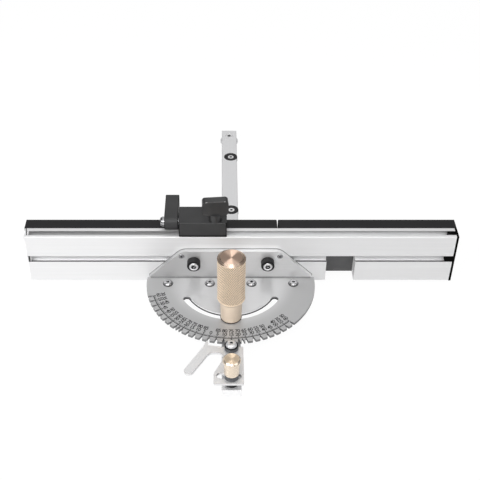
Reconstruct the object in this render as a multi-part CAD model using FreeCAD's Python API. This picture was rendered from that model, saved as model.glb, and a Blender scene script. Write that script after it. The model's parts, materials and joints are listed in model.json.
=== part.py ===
"""Miter gauge for a table saw: runner bar, swinging protractor head, slotted fence and flip stop.

Millimetres. X runs to the right, Y along the runner bar away from the user, Z up.
The origin is the head's pivot axis at the underside of the runner bar.
"""

import FreeCAD, Part
import math
import os

from FreeCAD import Placement, Rotation, Vector

# Fits
run_clearance = 0.05            # radial, between a shank or shoulder and the bore it runs in
seat_gap = 0.05                 # between flat faces that slide or turn on each other
hole_clearance = 0.2            # radial, loose holes and pockets
head_recess = 0.1               # of a flush piece or a countersunk head below its surface

# Runner bar and its rear guide washer
bar_width = 19.0
bar_height = 9.5
bar_length = 450.0
edge_break = 0.5
blind_floor = 0.8               # left under the threaded holes
guide_radius = 11.5
guide_thickness = 2.2
guide_inset = 12.0              # from the bar's rear end to the washer's axis
guide_screw_radius = 2.5
guide_head_radius = 4.6

# Expansion discs let into the bar's right edge
disc_radius = 8.3
disc_thickness = 5.5
disc_proud = 0.6                # past the bar's edge
disc_slit = 1.0
disc_distances = (60.6, 170.3)  # from the bar's rear end
disc_screw_radius = 2.0
disc_head_radius = 3.6

# Protractor plate
plate_radius = 89.0
plate_thickness = 3.0
swing_limit = 60.0              # degrees each way
clamp_radius = 52.8             # from the pivot to the clamp stud
slot_clearance = 0.8            # each side of the clamp stud
slot_margin = 0.6               # degrees of slot left over at each end
notch_step = 5.0                # degrees between index stops
extra_stop = 22.5               # the stop between the steps, each way
notch_depth = 5.0
notch_mouth = 3.0
notch_root_radius = 0.5
plate_screw_edge = 22.7         # from the outer screw to the rim
plate_screw_offset = 2.4        # in front of the pivot
plate_screw_radius = 2.5
plate_head_radius = 5.0
plate_head_height = 2.7
button_socket = 3.0             # across flats

# Pivot
pivot_radius = 5.0
pivot_thread_radius = 3.0
pivot_head_radius = 7.0
pivot_head_height = 3.0
pivot_washer_radius = 9.0
pivot_washer_thickness = 1.0

# Angle bracket
foot_thickness = 5.0
foot_reach = 12.6               # in front of the pivot
flange_offset = 7.8             # from the pivot to the flange's front face
flange_thickness = 4.6
flange_over_bolt = 14.1         # from the fence bolts up to the top edge
flange_corner = 14.0
bracket_inset = 2.5             # inside the plate's rim
bracket_wall_height = 0.5       # upright part of the flange's ends above the plate
squaring_rise = 7.4             # of the squaring screws above the fence bolts
squaring_inset = 6.6            # of the squaring screws from the sloping edge
squaring_radius = 3.0
squaring_socket = 2.6
squaring_proud = 0.5
bolt_to_squaring = 12.9

# Fence bolts in their black sleeves
bolt_radius = 3.0
bolt_head_radius = 4.85
bolt_head_height = 6.0
bolt_socket = 5.0
bolt_head_proud = 1.2
sleeve_radius = 7.0
sleeve_length = 7.5
slot_nut_length = 16.0
slot_nut_thickness = 3.8

# Fence extrusion
fence_lift = 0.3                # above the runner bar
fence_left = 214.0              # to the left of the pivot
fence_right = 234.4
slot_lip = 2.2
slot_cavity_depth = 4.4
fence_web = 1.8                 # between the front and the rear slot
side_mouth = 7.8
side_cavity = 12.6
top_mouth = 6.6
top_cavity = 10.6
top_slot_wall = 1.5             # in front of the top slot's cavity
section_wall = 2.0
lower_chamber = 19.7
upper_chamber = 13.1
blade_notch_start = 101.5
blade_notch_width = 30.5

# End caps, facing boards and their fixings
cap_thickness = 2.4             # of the right cap; the boards end level with it
cap_plug = 8.0
cap_overhang = 0.8              # of the right cap below the extrusion
left_cap_thickness = 1.0
left_cap_plug = 3.0
cap_clearance = 0.1
board_thickness = 14.0
board_split = 49.4              # centre of the gap between the boards
board_split_gap = 1.0
board_chamfer = 0.7
board_screw_places = (-170.0, -20.0, 75.0, 205.0)
board_screw_radius = 2.5
board_head_radius = 5.0
board_nut_size = 10.0
board_nut_thickness = 3.6

# Flip stop
stop_left = 53.9                # left face of the block, to the left of the pivot
stop_width = 49.7
stop_depth = 28.5
stop_height = 18.1
stop_corner = 1.5
stop_tongue_depth = 1.8
stop_knob_inset = 11.9          # from the block's right face to the knob's axis
stop_bolt_radius = 3.0
stop_bolt_head = 10.0
stop_bolt_head_thickness = 3.4
stop_bolt_rise = 14.0           # above the block
arm_gap = 0.8                   # between the block and the arm
arm_width = 14.4
arm_knuckle = 8.3
arm_pivot_setback = 14.9        # behind the fence's front face
arm_lift = 0.5                  # above the fence
arm_finger_gap = 1.5            # behind the boards
arm_finger_top = 21.0           # thickness at the top
arm_finger_tip = 10.0           # thickness at the tip
arm_finger_drop = 40.0          # below the top of the fence
arm_corner = 2.0
arm_screw_shoulder = 4.0
arm_screw_thread = 3.0
arm_screw_thread_length = 12.0
arm_screw_head_radius = 5.2
arm_screw_head_height = 4.8
wing_hub_radius = 6.75
wing_hub_height = 7.9
wing_width = 26.8
wing_thickness = 8.6
wing_height = 17.4
wing_corner = 3.5
wing_turn = 5.0                 # degrees

# Clamp handle
stud_radius = 3.0
stud_rise = 28.0                # inside the handle
pad_radius = 10.0
handle_washer_radius = 9.6
handle_washer_thickness = 0.5
handle_length = 79.4
neck_bottom_radius = 10.6
neck_top_radius = 11.3
neck_height = 22.8
shoulder_height = 4.0
grip_radius = 14.05
grip_bevel_width = 3.1
grip_bevel_height = 2.0

# Index lever, its pivot and its lock
index_angle = -15.0             # of the index notch, from the front towards the right
index_standoff = 7.9            # from the plate's rim to the lever's pivot
engage_angle = 8.0              # degrees from rest into the notch
release_angle = 16.0            # degrees from rest fully out
tooth_reach = 3.0               # into the rim when engaged
tooth_clearance = 0.15
lever_thickness = 2.9
lever_rim_gap = 6.0             # from the rim to the lever's curved rear edge
lever_right = 11.6
lever_left = 17.1
lever_front = 8.4               # in front of the lock stud
lever_corner = 1.2
lever_shoulder = 4.8            # of the sloping left edge, behind the lock stud
bay_drop = 5.5                  # of the bay's rear edge, in front of the pivot
bay_right = 7.6
bay_length = 7.8
thumb_offset = 2.4              # of the thumb arm from the tooth's foot
thumb_direction = 239.2         # degrees from +X
thumb_length = 35.6
thumb_half_width = 4.7
lever_slot_margin = 1.5         # degrees
lever_slot_clearance = 0.2
lock_radius = 37.4              # from the lever's pivot to the lock stud
lock_stud_radius = 3.0
lock_stud_rise = 14.0           # inside the lock knob
index_shoulder_radius = 4.0
index_thread_radius = 2.5
index_head_radius = 5.4
index_head_height = 3.4
spacer_radius = 6.3             # of the rings under the lever
collar_radius = 6.9             # of the rings on top of it
index_collar_height = 4.3
lock_collar_height = 5.9
bar_front_margin = 0.3          # of the bar past the lever's front edge
lock_knob_length = 19.1
lock_body_radius = 7.3
lock_cap_radius = 8.65
lock_cap_height = 3.5
lock_cap_bevel = 1.6

# Levels that follow from the sizes above
plate_bottom = bar_height + pivot_washer_thickness + foot_thickness
plate_top = plate_bottom + plate_thickness
screw_end = blind_floor + hole_clearance
foot_bottom = plate_bottom - foot_thickness
fence_bottom = bar_height + fence_lift
side_slot_height = section_wall + lower_chamber + section_wall + side_cavity / 2
fence_height = (side_slot_height + side_cavity / 2 + section_wall + upper_chamber + section_wall
                + slot_cavity_depth + slot_lip)
fence_top = fence_bottom + fence_height
bolt_level = fence_bottom + side_slot_height
flange_top = bolt_level + flange_over_bolt

# Distances along Y that follow
flange_rear = flange_offset + flange_thickness
fence_front = flange_rear + seat_gap
fence_depth = 2 * (slot_lip + slot_cavity_depth) + fence_web
fence_rear = fence_front + fence_depth
board_rear = fence_rear + board_thickness
top_slot_y = fence_front + top_slot_wall + top_cavity / 2
index_pivot_y = -(plate_radius + index_standoff)
lock_y = index_pivot_y - lock_radius
bar_front = lock_y - lever_front - bar_front_margin
bar_rear = bar_front + bar_length

# Distances along X that follow
bracket_half_width = plate_radius - bracket_inset
squaring_level = bolt_level + squaring_rise
slope_start = plate_top + bracket_wall_height
squaring_x = bracket_half_width - (squaring_level - slope_start) - squaring_inset
bolt_x = squaring_x - bolt_to_squaring
plate_screw_pitch = 2 * (plate_radius - plate_screw_edge) / 3
stop_right_x = -stop_left + stop_width
stop_knob_x = stop_right_x - stop_knob_inset
arm_right_x = -stop_left - arm_gap


def box(x0, x1, y0, y1, z0, z1):
    """Block between two opposite corners."""
    return Part.makeBox(x1 - x0, y1 - y0, z1 - z0, Vector(x0, y0, z0))


def cylinder(radius, x, y, z0, z1):
    """Upright cylinder."""
    return Part.makeCylinder(radius, z1 - z0, Vector(x, y, z0))


def cylinder_along(radius, start, direction, length):
    """Cylinder from a point along a direction."""
    return Part.makeCylinder(radius, length, start, direction)


def turned(profile):
    """Solid of revolution about Z from (radius, height) points that start and end on the axis."""
    points = [Vector(radius, 0, height) for radius, height in profile]
    wire = Part.makePolygon(points + [points[0]])
    return Part.Face(wire).revolve(Vector(0, 0, 0), Vector(0, 0, 1), 360)


def placed(shape, position, direction):
    """The shape moved to a position, with its own Z axis along a direction."""
    moved = shape.copy()
    moved.Placement = Placement(position, Rotation(Vector(0, 0, 1), direction))
    return moved


def rounded_outline(corners):
    """Closed wire through (x, y, radius) corners, each rounded by a tangent arc."""
    count = len(corners)
    stations = []
    for index, (x, y, radius) in enumerate(corners):
        corner = Vector(x, y, 0)
        if radius == 0:
            stations.append((corner, None, corner))
            continue
        before = Vector(*corners[index - 1][:2], 0) - corner
        after = Vector(*corners[(index + 1) % count][:2], 0) - corner
        half_angle = before.getAngle(after) / 2
        before.normalize()
        after.normalize()
        bisector = (before + after).normalize()
        reach = radius / math.tan(half_angle)
        middle = corner + bisector * (radius / math.sin(half_angle) - radius)
        stations.append((corner + before * reach, middle, corner + after * reach))
    edges = []
    for index, (start, middle, end) in enumerate(stations):
        if middle is not None:
            edges.append(Part.Arc(start, middle, end).toShape())
        following = stations[(index + 1) % count][0]
        if (following - end).Length > 1e-6:
            edges.append(Part.LineSegment(end, following).toShape())
    return Part.Wire(edges)


def flat_piece(corners, z0, z1):
    """Plate with a rounded outline in the XY plane."""
    face = Part.Face(rounded_outline(corners))
    face.translate(Vector(0, 0, z0))
    return face.extrude(Vector(0, 0, z1 - z0))


def section_along_x(corners, x0, x1):
    """Bar with a rounded (y, z) section."""
    piece = flat_piece(corners, x0, x1)
    piece.Placement = Placement(Vector(0, 0, 0), Rotation(Vector(1, 1, 1), 120))
    return piece


def section_along_y(corners, y0, y1):
    """Bar with a rounded (x, z) section."""
    piece = flat_piece(corners, -y1, -y0)
    piece.Placement = Placement(Vector(0, 0, 0), Rotation(Vector(1, 0, 0), 90))
    return piece


def arc_slot(centre_y, radius, half_width, first_angle, last_angle, z0, z1):
    """Curved slot about a point on the Y axis; angles from the front towards the right."""
    def on_arc(reach, angle):
        turn = math.radians(angle)
        return Vector(reach * math.sin(turn), centre_y - reach * math.cos(turn), z0)

    middle_angle = (first_angle + last_angle) / 2
    inner = radius - half_width
    outer = radius + half_width
    past_first = on_arc(radius, first_angle - math.degrees(half_width / radius))
    past_last = on_arc(radius, last_angle + math.degrees(half_width / radius))
    edges = [
        Part.Arc(on_arc(outer, first_angle), on_arc(outer, middle_angle), on_arc(outer, last_angle)),
        Part.Arc(on_arc(outer, last_angle), past_last, on_arc(inner, last_angle)),
        Part.Arc(on_arc(inner, last_angle), on_arc(inner, middle_angle), on_arc(inner, first_angle)),
        Part.Arc(on_arc(inner, first_angle), past_first, on_arc(outer, first_angle)),
    ]
    face = Part.Face(Part.Wire([edge.toShape() for edge in edges]))
    return face.extrude(Vector(0, 0, z1 - z0))


def hexagon(across_flats, z0, z1):
    """Hexagonal prism about Z, for a screw's socket."""
    reach = across_flats / math.sqrt(3)
    points = [Vector(reach * math.cos(math.radians(60 * side)), reach * math.sin(math.radians(60 * side)), z0)
              for side in range(7)]
    return Part.Face(Part.makePolygon(points)).extrude(Vector(0, 0, z1 - z0))


def button_screw(head_radius, head_height, socket, shank_radius, shank_length):
    """Button-head screw with its head above z = 0."""
    screw = turned([
        (0, -shank_length), (shank_radius, -shank_length), (shank_radius, 0), (head_radius, 0),
        (head_radius, 0.3 * head_height), (0.86 * head_radius, 0.72 * head_height),
        (0.58 * head_radius, head_height), (0, head_height)])
    return screw.cut(hexagon(socket, 0.35 * head_height, 2 * head_height))


def countersunk_screw(head_radius, shank_radius, length):
    """Countersunk screw with the flat top of its head at z = 0."""
    head_height = head_radius - shank_radius
    screw = turned([(0, -length), (shank_radius, -length), (shank_radius, -head_height),
                    (head_radius, 0), (0, 0)])
    return screw.cut(hexagon(0.85 * head_radius, -0.8 * head_height, head_height))


def countersink(head_radius, shank_radius, length, clearance):
    """The hole that a countersunk screw sits in, with its mouth at z = 0."""
    head_height = head_radius - shank_radius
    radius = shank_radius + clearance
    return turned([(0, -length), (radius, -length), (radius, -head_height - clearance),
                   (head_radius + clearance, -clearance / 2), (head_radius + clearance, head_height),
                   (0, head_height)])


def fused(pieces):
    """One solid from several that touch."""
    return pieces[0].multiFuse(pieces[1:]).removeSplitter()


def group(pieces):
    """Several separate solids kept together."""
    return Part.makeCompound(pieces)


# The runner bar, with everything that is fixed to it

def guide_position():
    return Vector(0, bar_rear - guide_inset, 0)


def disc_positions():
    x = bar_width / 2 + disc_proud - disc_radius
    return [Vector(x, bar_rear - distance, bar_height) for distance in disc_distances]


def disc_screw_drop():
    return Vector(0, 0, 2 * head_recess)


def runner_bar():
    """Flat bar with pockets for the discs, a stepped rear end and threaded holes."""
    bar = box(-bar_width / 2, bar_width / 2, bar_front, bar_rear, 0, bar_height)
    long_edges = [edge for edge in bar.Edges if abs(edge.BoundBox.YLength - bar_length) < 1e-6]
    bar = bar.makeChamfer(edge_break, long_edges)
    guide = guide_position()
    cuts = [box(-bar_width, bar_width, guide.y - guide_inset, bar_rear + 1, -1, guide_thickness + head_recess)]
    up = Vector(0, 0, 1)
    guide_hole = countersink(guide_head_radius, guide_screw_radius, 2 * bar_height, run_clearance)
    cuts.append(placed(guide_hole, Vector(guide.x, guide.y, bar_height - head_recess), up))
    for place in disc_positions():
        pocket_depth = disc_thickness + hole_clearance
        cuts.append(cylinder(disc_radius + hole_clearance, place.x, place.y,
                             bar_height - pocket_depth, bar_height + 1))
        cuts.append(cylinder(disc_screw_radius + run_clearance, place.x, place.y, -1, bar_height))
    for radius, y in ((pivot_thread_radius, 0), (stud_radius, -clamp_radius),
                      (index_thread_radius, index_pivot_y), (lock_stud_radius, lock_y)):
        cuts.append(cylinder(radius + run_clearance, 0, y, blind_floor, bar_height + 1))
    return bar.cut(cuts)


def guide_washer():
    guide = guide_position()
    washer = cylinder(guide_radius, 0, guide.y, head_recess, guide_thickness + head_recess)
    return washer.cut(cylinder(guide_screw_radius + run_clearance, 0, guide.y, -1, bar_height))


def guide_screw():
    guide = guide_position()
    screw = countersunk_screw(guide_head_radius, guide_screw_radius, bar_height - 2 * head_recess)
    return placed(screw, Vector(guide.x, guide.y, bar_height - head_recess), Vector(0, 0, 1))


def expansion_discs():
    """Slit nylon discs that their screws spread against the groove's wall."""
    discs = []
    for place in disc_positions():
        top = place.z - head_recess
        disc = cylinder(disc_radius, place.x, place.y, top - disc_thickness, top)
        seat = countersink(disc_head_radius, disc_screw_radius, 2 * bar_height, run_clearance)
        slit = box(place.x - 2 * disc_radius, place.x, place.y - disc_slit / 2, place.y + disc_slit / 2,
                   0, 2 * bar_height)
        discs.append(disc.cut([placed(seat, place - disc_screw_drop(), Vector(0, 0, 1)), slit]))
    return group(discs)


def expansion_screws():
    drop = disc_screw_drop()
    screw = countersunk_screw(disc_head_radius, disc_screw_radius, bar_height - drop.z - blind_floor)
    return group([placed(screw, place - drop, Vector(0, 0, 1)) for place in disc_positions()])


def pivot_screw():
    """Shoulder screw that the head turns on."""
    top = plate_top + seat_gap
    shoulder_length = top - bar_height
    end = screw_end - top
    profile = [(0, end), (pivot_thread_radius, end), (pivot_thread_radius, -shoulder_length),
               (pivot_radius, -shoulder_length), (pivot_radius, 0), (pivot_head_radius, 0),
               (pivot_head_radius, 0.6 * pivot_head_height), (0.8 * pivot_head_radius, pivot_head_height),
               (0, pivot_head_height)]
    screw = turned(profile).cut(hexagon(pivot_radius, 0.4 * pivot_head_height, 2 * pivot_head_height))
    return placed(screw, Vector(0, 0, top), Vector(0, 0, 1))


def pivot_washer():
    washer = cylinder(pivot_washer_radius, 0, 0, bar_height, foot_bottom - seat_gap)
    return washer.cut(cylinder(pivot_radius + run_clearance, 0, 0, 0, plate_top))


def slide_pad():
    """Ring that holds the plate's front half level over the bar."""
    pad = cylinder(pad_radius, 0, -clamp_radius, bar_height, plate_bottom - seat_gap)
    return pad.cut(cylinder(stud_radius + run_clearance, 0, -clamp_radius, 0, plate_top))


def handle_bottom():
    return plate_top + 2 * seat_gap + handle_washer_thickness


def clamp_stud():
    return cylinder(stud_radius, 0, -clamp_radius, screw_end, handle_bottom() + stud_rise)


def handle_washer():
    bottom = plate_top + seat_gap
    washer = cylinder(handle_washer_radius, 0, -clamp_radius, bottom, bottom + handle_washer_thickness)
    return washer.cut(cylinder(stud_radius + run_clearance, 0, -clamp_radius, 0, 2 * plate_top))


def index_spacers():
    """Two rings that carry the index lever level with the plate."""
    rings = []
    for y, radius in ((index_pivot_y, index_thread_radius), (lock_y, lock_stud_radius)):
        ring = cylinder(spacer_radius, 0, y, bar_height, plate_bottom)
        rings.append(ring.cut(cylinder(radius + run_clearance, 0, y, 0, plate_top)))
    return group(rings)


def index_collars():
    """Two rings on top of the lever, under the screw head and under the lock knob."""
    bottom = plate_bottom + lever_thickness + 2 * seat_gap
    rings = []
    for y, radius, height in ((index_pivot_y, index_shoulder_radius, index_collar_height),
                              (lock_y, lock_stud_radius, lock_collar_height)):
        ring = cylinder(collar_radius, 0, y, bottom, bottom + height)
        rings.append(ring.cut(cylinder(radius + run_clearance, 0, y, 0, 2 * bottom)))
    return group(rings)


def index_screw():
    """Shoulder screw that the lever swings on."""
    head_bottom = plate_bottom + lever_thickness + 2 * seat_gap + index_collar_height
    shoulder_length = head_bottom - plate_bottom
    screw = button_screw(index_head_radius, index_head_height, button_socket,
                         index_thread_radius, head_bottom - screw_end)
    shoulder = cylinder(index_shoulder_radius, 0, 0, -shoulder_length, 0)
    return placed(fused([screw, shoulder]), Vector(0, index_pivot_y, head_bottom), Vector(0, 0, 1))


def lock_knob_bottom():
    return plate_bottom + lever_thickness + 3 * seat_gap + lock_collar_height


def lock_stud():
    return cylinder(lock_stud_radius, 0, lock_y, screw_end, lock_knob_bottom() + lock_stud_rise)


# The swinging head

def notch_angles():
    """Angles of the rim notches from the plate's front, towards the right."""
    steps = int(swing_limit / notch_step)
    stops = [step * notch_step for step in range(-steps, steps + 1)] + [-extra_stop, extra_stop]
    return [index_angle + stop for stop in stops]


def rim_notch():
    """Tapered notch with a round root, cut into the rim at the plate's front."""
    root_y = -(plate_radius - notch_depth + notch_root_radius)
    mouth_y = -(plate_radius + 1)
    slope = (notch_mouth / 2 - notch_root_radius) / (notch_depth - notch_root_radius)
    mouth = notch_root_radius + slope * (root_y - mouth_y)
    taper = flat_piece([(-notch_root_radius, root_y, 0), (-mouth, mouth_y, 0), (mouth, mouth_y, 0),
                        (notch_root_radius, root_y, 0)], plate_bottom - 1, plate_top + 1)
    return taper.fuse(cylinder(notch_root_radius, 0, root_y, plate_bottom - 1, plate_top + 1))


def plate_screw_places():
    return [Vector((place - 1.5) * plate_screw_pitch, -plate_screw_offset, plate_top) for place in range(4)]


def protractor_plate():
    """Steel disc cut straight behind the pivot, with a curved clamp slot and a notched rim."""
    plate = cylinder(plate_radius, 0, 0, plate_bottom, plate_top)
    slot_end = swing_limit + slot_margin - math.degrees(slot_clearance / clamp_radius)
    cuts = [box(-2 * plate_radius, 2 * plate_radius, flange_offset, 2 * plate_radius, 0, 2 * plate_top),
            cylinder(pivot_radius + run_clearance, 0, 0, 0, 2 * plate_top),
            arc_slot(0, clamp_radius, stud_radius + slot_clearance, -slot_end, slot_end,
                     plate_bottom - 1, plate_top + 1)]
    for place in plate_screw_places():
        cuts.append(cylinder(plate_screw_radius + run_clearance, place.x, place.y, 0, 2 * plate_top))
    for angle in notch_angles():
        cuts.append(rim_notch().rotate(Vector(0, 0, 0), Vector(0, 0, 1), angle))
    return plate.cut(cuts)


def squaring_places():
    return [Vector(side * squaring_x, flange_offset - squaring_proud, squaring_level) for side in (-1, 1)]


def bolt_places():
    return [Vector(side * bolt_x, flange_offset, bolt_level) for side in (-1, 1)]


def bracket():
    """Angle bracket: a foot under the plate and an upright flange with sloping ends."""
    top_x = bracket_half_width - (flange_top - slope_start)
    flange = section_along_y([
        (-bracket_half_width, foot_bottom, 0), (bracket_half_width, foot_bottom, 0),
        (bracket_half_width, slope_start, 0), (top_x, flange_top, flange_corner),
        (-top_x, flange_top, flange_corner), (-bracket_half_width, slope_start, 0)],
        flange_offset, flange_rear)
    foot = box(-bracket_half_width, bracket_half_width, -foot_reach, flange_rear, foot_bottom, plate_bottom)
    cuts = [cylinder(pivot_radius + run_clearance, 0, 0, 0, 2 * plate_top)]
    for place in plate_screw_places():
        cuts.append(cylinder(plate_screw_radius + run_clearance, place.x, place.y, 0, plate_top))
    back = Vector(0, 1, 0)
    for place in bolt_places():
        cuts.append(cylinder_along(bolt_radius + run_clearance, place - back, back, flange_thickness + 2))
    for place in squaring_places():
        cuts.append(cylinder_along(squaring_radius + run_clearance, place - back, back, flange_thickness + 2))
    return fused([flange, foot]).cut(cuts)


def plate_screws():
    length = plate_top - foot_bottom - head_recess
    screw = button_screw(plate_head_radius, plate_head_height, button_socket, plate_screw_radius, length)
    return group([placed(screw, place, Vector(0, 0, 1)) for place in plate_screw_places()])


def bolt_sleeves():
    """Black cups that the bolt heads sit in."""
    front = Vector(0, -1, 0)
    sleeves = []
    for place in bolt_places():
        sleeve = cylinder_along(sleeve_radius, place, front, sleeve_length)
        seat_start = place + front * (sleeve_length + bolt_head_proud - bolt_head_height)
        seat = cylinder_along(bolt_head_radius + hole_clearance, seat_start, front, sleeve_length)
        hole = cylinder_along(bolt_radius + run_clearance, place - front, front, 2 * sleeve_length)
        sleeves.append(sleeve.cut([seat, hole]))
    return group(sleeves)


def fence_bolts():
    """Socket-head bolts through the flange into the fence's front slot."""
    end_y = fence_front + slot_lip + slot_cavity_depth - 0.5
    shank = end_y - (flange_offset - sleeve_length - bolt_head_proud + bolt_head_height)
    bolt = turned([
        (0, -shank), (bolt_radius, -shank), (bolt_radius, 0), (bolt_head_radius, 0),
        (bolt_head_radius, bolt_head_height - 0.4), (bolt_head_radius - 0.4, bolt_head_height),
        (0, bolt_head_height)]).cut(hexagon(bolt_socket, bolt_head_height / 2, 2 * bolt_head_height))
    setback = Vector(0, sleeve_length + bolt_head_proud - bolt_head_height, 0)
    return group([placed(bolt, place - setback, Vector(0, -1, 0)) for place in bolt_places()])


def fence_nuts():
    """Slot nuts that draw the fence against the flange."""
    front = fence_front + slot_lip + 2 * seat_gap
    half_height = side_cavity / 2 - 2 * hole_clearance
    nuts = []
    for place in bolt_places():
        nut = box(place.x - slot_nut_length / 2, place.x + slot_nut_length / 2, front,
                  front + slot_nut_thickness, bolt_level - half_height, bolt_level + half_height)
        nuts.append(nut.cut(cylinder_along(bolt_radius + run_clearance, place, Vector(0, 1, 0), fence_rear)))
    return group(nuts)


def squaring_screws():
    """Set screws in the flange that bear on the fence's face."""
    length = flange_thickness + squaring_proud - seat_gap
    screw = turned([(0, -length), (squaring_radius, -length), (squaring_radius, -0.4),
                    (squaring_radius - 0.4, 0), (0, 0)])
    screw = screw.cut(hexagon(squaring_socket, -length / 2, length))
    return group([placed(screw, place, Vector(0, -1, 0)) for place in squaring_places()])


# The fence

def side_slot(face_y, inward):
    """T-slot in the front face (inward +1) or the rear face (inward -1)."""
    lip_end = face_y + inward * slot_lip
    cavity_end = lip_end + inward * slot_cavity_depth
    mouth_y = sorted((face_y - inward, lip_end + inward))
    cavity_y = sorted((lip_end, cavity_end))
    mouth = box(-fence_left - 1, fence_right + 1, mouth_y[0], mouth_y[1],
                bolt_level - side_mouth / 2, bolt_level + side_mouth / 2)
    cavity = box(-fence_left - 1, fence_right + 1, cavity_y[0], cavity_y[1],
                 bolt_level - side_cavity / 2, bolt_level + side_cavity / 2)
    return mouth.fuse(cavity)


def top_slot():
    cavity_top = fence_top - slot_lip
    mouth = box(-fence_left - 1, fence_right + 1, top_slot_y - top_mouth / 2, top_slot_y + top_mouth / 2,
                cavity_top - 1, fence_top + 1)
    cavity = box(-fence_left - 1, fence_right + 1, top_slot_y - top_cavity / 2,
                 top_slot_y + top_cavity / 2, cavity_top - slot_cavity_depth, cavity_top)
    return mouth.fuse(cavity)


def chamber(bottom, height):
    """Closed hollow that runs the fence's length."""
    return box(-fence_left - 1, fence_right + 1, fence_front + section_wall, fence_rear - section_wall,
               bottom, bottom + height)


def fence_extrusion():
    """Hollow extrusion with T-slots in its top, front and rear, and a notch for the blade."""
    body = box(-fence_left, fence_right, fence_front, fence_rear, fence_bottom, fence_top)
    long_edges = [edge for edge in body.Edges if edge.BoundBox.XLength > fence_left]
    body = body.makeChamfer(edge_break, long_edges)
    notch_top = bolt_level + side_mouth / 2
    blade_notch = box(blade_notch_start, blade_notch_start + blade_notch_width, fence_front - 1,
                      fence_rear + 1, fence_bottom - 1, notch_top)
    upper_start = bolt_level + side_cavity / 2 + section_wall
    return body.cut([side_slot(fence_front, 1), side_slot(fence_rear, -1), top_slot(),
                     chamber(fence_bottom + section_wall, lower_chamber),
                     chamber(upper_start, upper_chamber), blade_notch])


def end_cap(face_x, outward, thickness, plug_length, overhang):
    """Moulded cap with plugs that fill the ends of the top and front slots."""
    outer = face_x + outward * thickness
    cap_bottom = fence_bottom - overhang
    plate_x = sorted((face_x, outer))
    corner = edge_break
    cap = section_along_x([(fence_front, cap_bottom, corner), (fence_rear, cap_bottom, corner),
                           (fence_rear, fence_top, corner), (fence_front, fence_top, corner)],
                          plate_x[0], plate_x[1])
    plug_x = sorted((face_x - outward * plug_length, face_x))
    depth = slot_lip + slot_cavity_depth - cap_clearance
    top_half = top_mouth / 2 - cap_clearance
    side_half = side_mouth / 2 - cap_clearance
    top_plug = box(plug_x[0], plug_x[1], top_slot_y - top_half, top_slot_y + top_half,
                   fence_top - depth, fence_top - edge_break)
    front_plug = box(plug_x[0], plug_x[1], fence_front + edge_break, fence_front + depth,
                     bolt_level - side_half, bolt_level + side_half)
    return fused([cap, top_plug, front_plug])


def board_hole_places():
    return [Vector(x, board_rear, bolt_level) for x in board_screw_places]


def board_screw_seats():
    return [place - Vector(0, head_recess, 0) for place in board_hole_places()]


def facing_board(x0, x1, split_end):
    """Board on the fence's working side, bevelled at the split."""
    board = box(x0, x1, fence_rear, board_rear, fence_bottom, fence_top)
    bevelled = [edge for edge in board.Edges
                if edge.BoundBox.XLength < 1e-6 and abs(edge.BoundBox.Center.x - split_end) < 1e-6
                and edge.BoundBox.Center.y > fence_rear + 1e-6]
    board = board.makeChamfer(board_chamfer, bevelled)
    hole = countersink(board_head_radius, board_screw_radius, 2 * board_thickness, run_clearance)
    holes = [placed(hole, place, Vector(0, 1, 0)) for place in board_screw_seats() if x0 < place.x < x1]
    return board.cut(holes)


def left_board():
    split = board_split - board_split_gap / 2
    return facing_board(-fence_left - cap_thickness, split, split)


def right_board():
    split = board_split + board_split_gap / 2
    return facing_board(split, fence_right + cap_thickness, split)


def board_screws():
    length = board_thickness + slot_lip + board_nut_thickness - head_recess
    screw = countersunk_screw(board_head_radius, board_screw_radius, length)
    return group([placed(screw, place, Vector(0, 1, 0)) for place in board_screw_seats()])


def board_nuts():
    """Square nuts in the rear slot."""
    rear = fence_rear - slot_lip - seat_gap
    half = board_nut_size / 2
    nuts = []
    for place in board_hole_places():
        nut = box(place.x - half, place.x + half, rear - board_nut_thickness, rear,
                  bolt_level - half, bolt_level + half)
        hole = cylinder_along(board_screw_radius + run_clearance, place, Vector(0, -1, 0), board_rear)
        nuts.append(nut.cut(hole))
    return group(nuts)


# The flip stop

def stop_seat():
    return fence_top + seat_gap


def stop_top():
    return stop_seat() + stop_height


def arm_pivot():
    return Vector(arm_right_x, fence_front + arm_pivot_setback, fence_top + arm_lift + arm_knuckle)


def stop_block():
    """Block on top of the fence, with a tongue in the top slot."""
    seat = stop_seat()
    rear = fence_front + stop_depth
    block = flat_piece([(-stop_left, fence_front, stop_corner), (stop_right_x, fence_front, stop_corner),
                        (stop_right_x, rear, stop_corner), (-stop_left, rear, stop_corner)],
                       seat, stop_top())
    top_edges = [edge for edge in block.Edges if edge.BoundBox.ZMin > stop_top() - 1e-6]
    block = block.makeChamfer(edge_break, top_edges)
    tongue_half = top_mouth / 2 - cap_clearance
    tongue = box(-stop_left + stop_corner, stop_right_x - stop_corner, top_slot_y - tongue_half,
                 top_slot_y + tongue_half, fence_top - stop_tongue_depth, seat + 1)
    pivot = arm_pivot()
    thread_hole = cylinder_along(arm_screw_thread + run_clearance, Vector(-stop_left - 1, pivot.y, pivot.z),
                                 Vector(1, 0, 0), arm_screw_thread_length + 2)
    bolt_hole = cylinder(stop_bolt_radius + hole_clearance, stop_knob_x, top_slot_y, 0, 2 * fence_top)
    return fused([block, tongue]).cut([thread_hole, bolt_hole])


def stop_bolt():
    """T-bolt: a square head in the top slot and a stud up into the wing knob."""
    head_top = fence_top - slot_lip - 2 * seat_gap
    half = stop_bolt_head / 2
    head = box(stop_knob_x - half, stop_knob_x + half, top_slot_y - half, top_slot_y + half,
               head_top - stop_bolt_head_thickness, head_top)
    stud = cylinder(stop_bolt_radius, stop_knob_x, top_slot_y, head_top - 0.5, stop_top() + stop_bolt_rise)
    return fused([head, stud])


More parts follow.
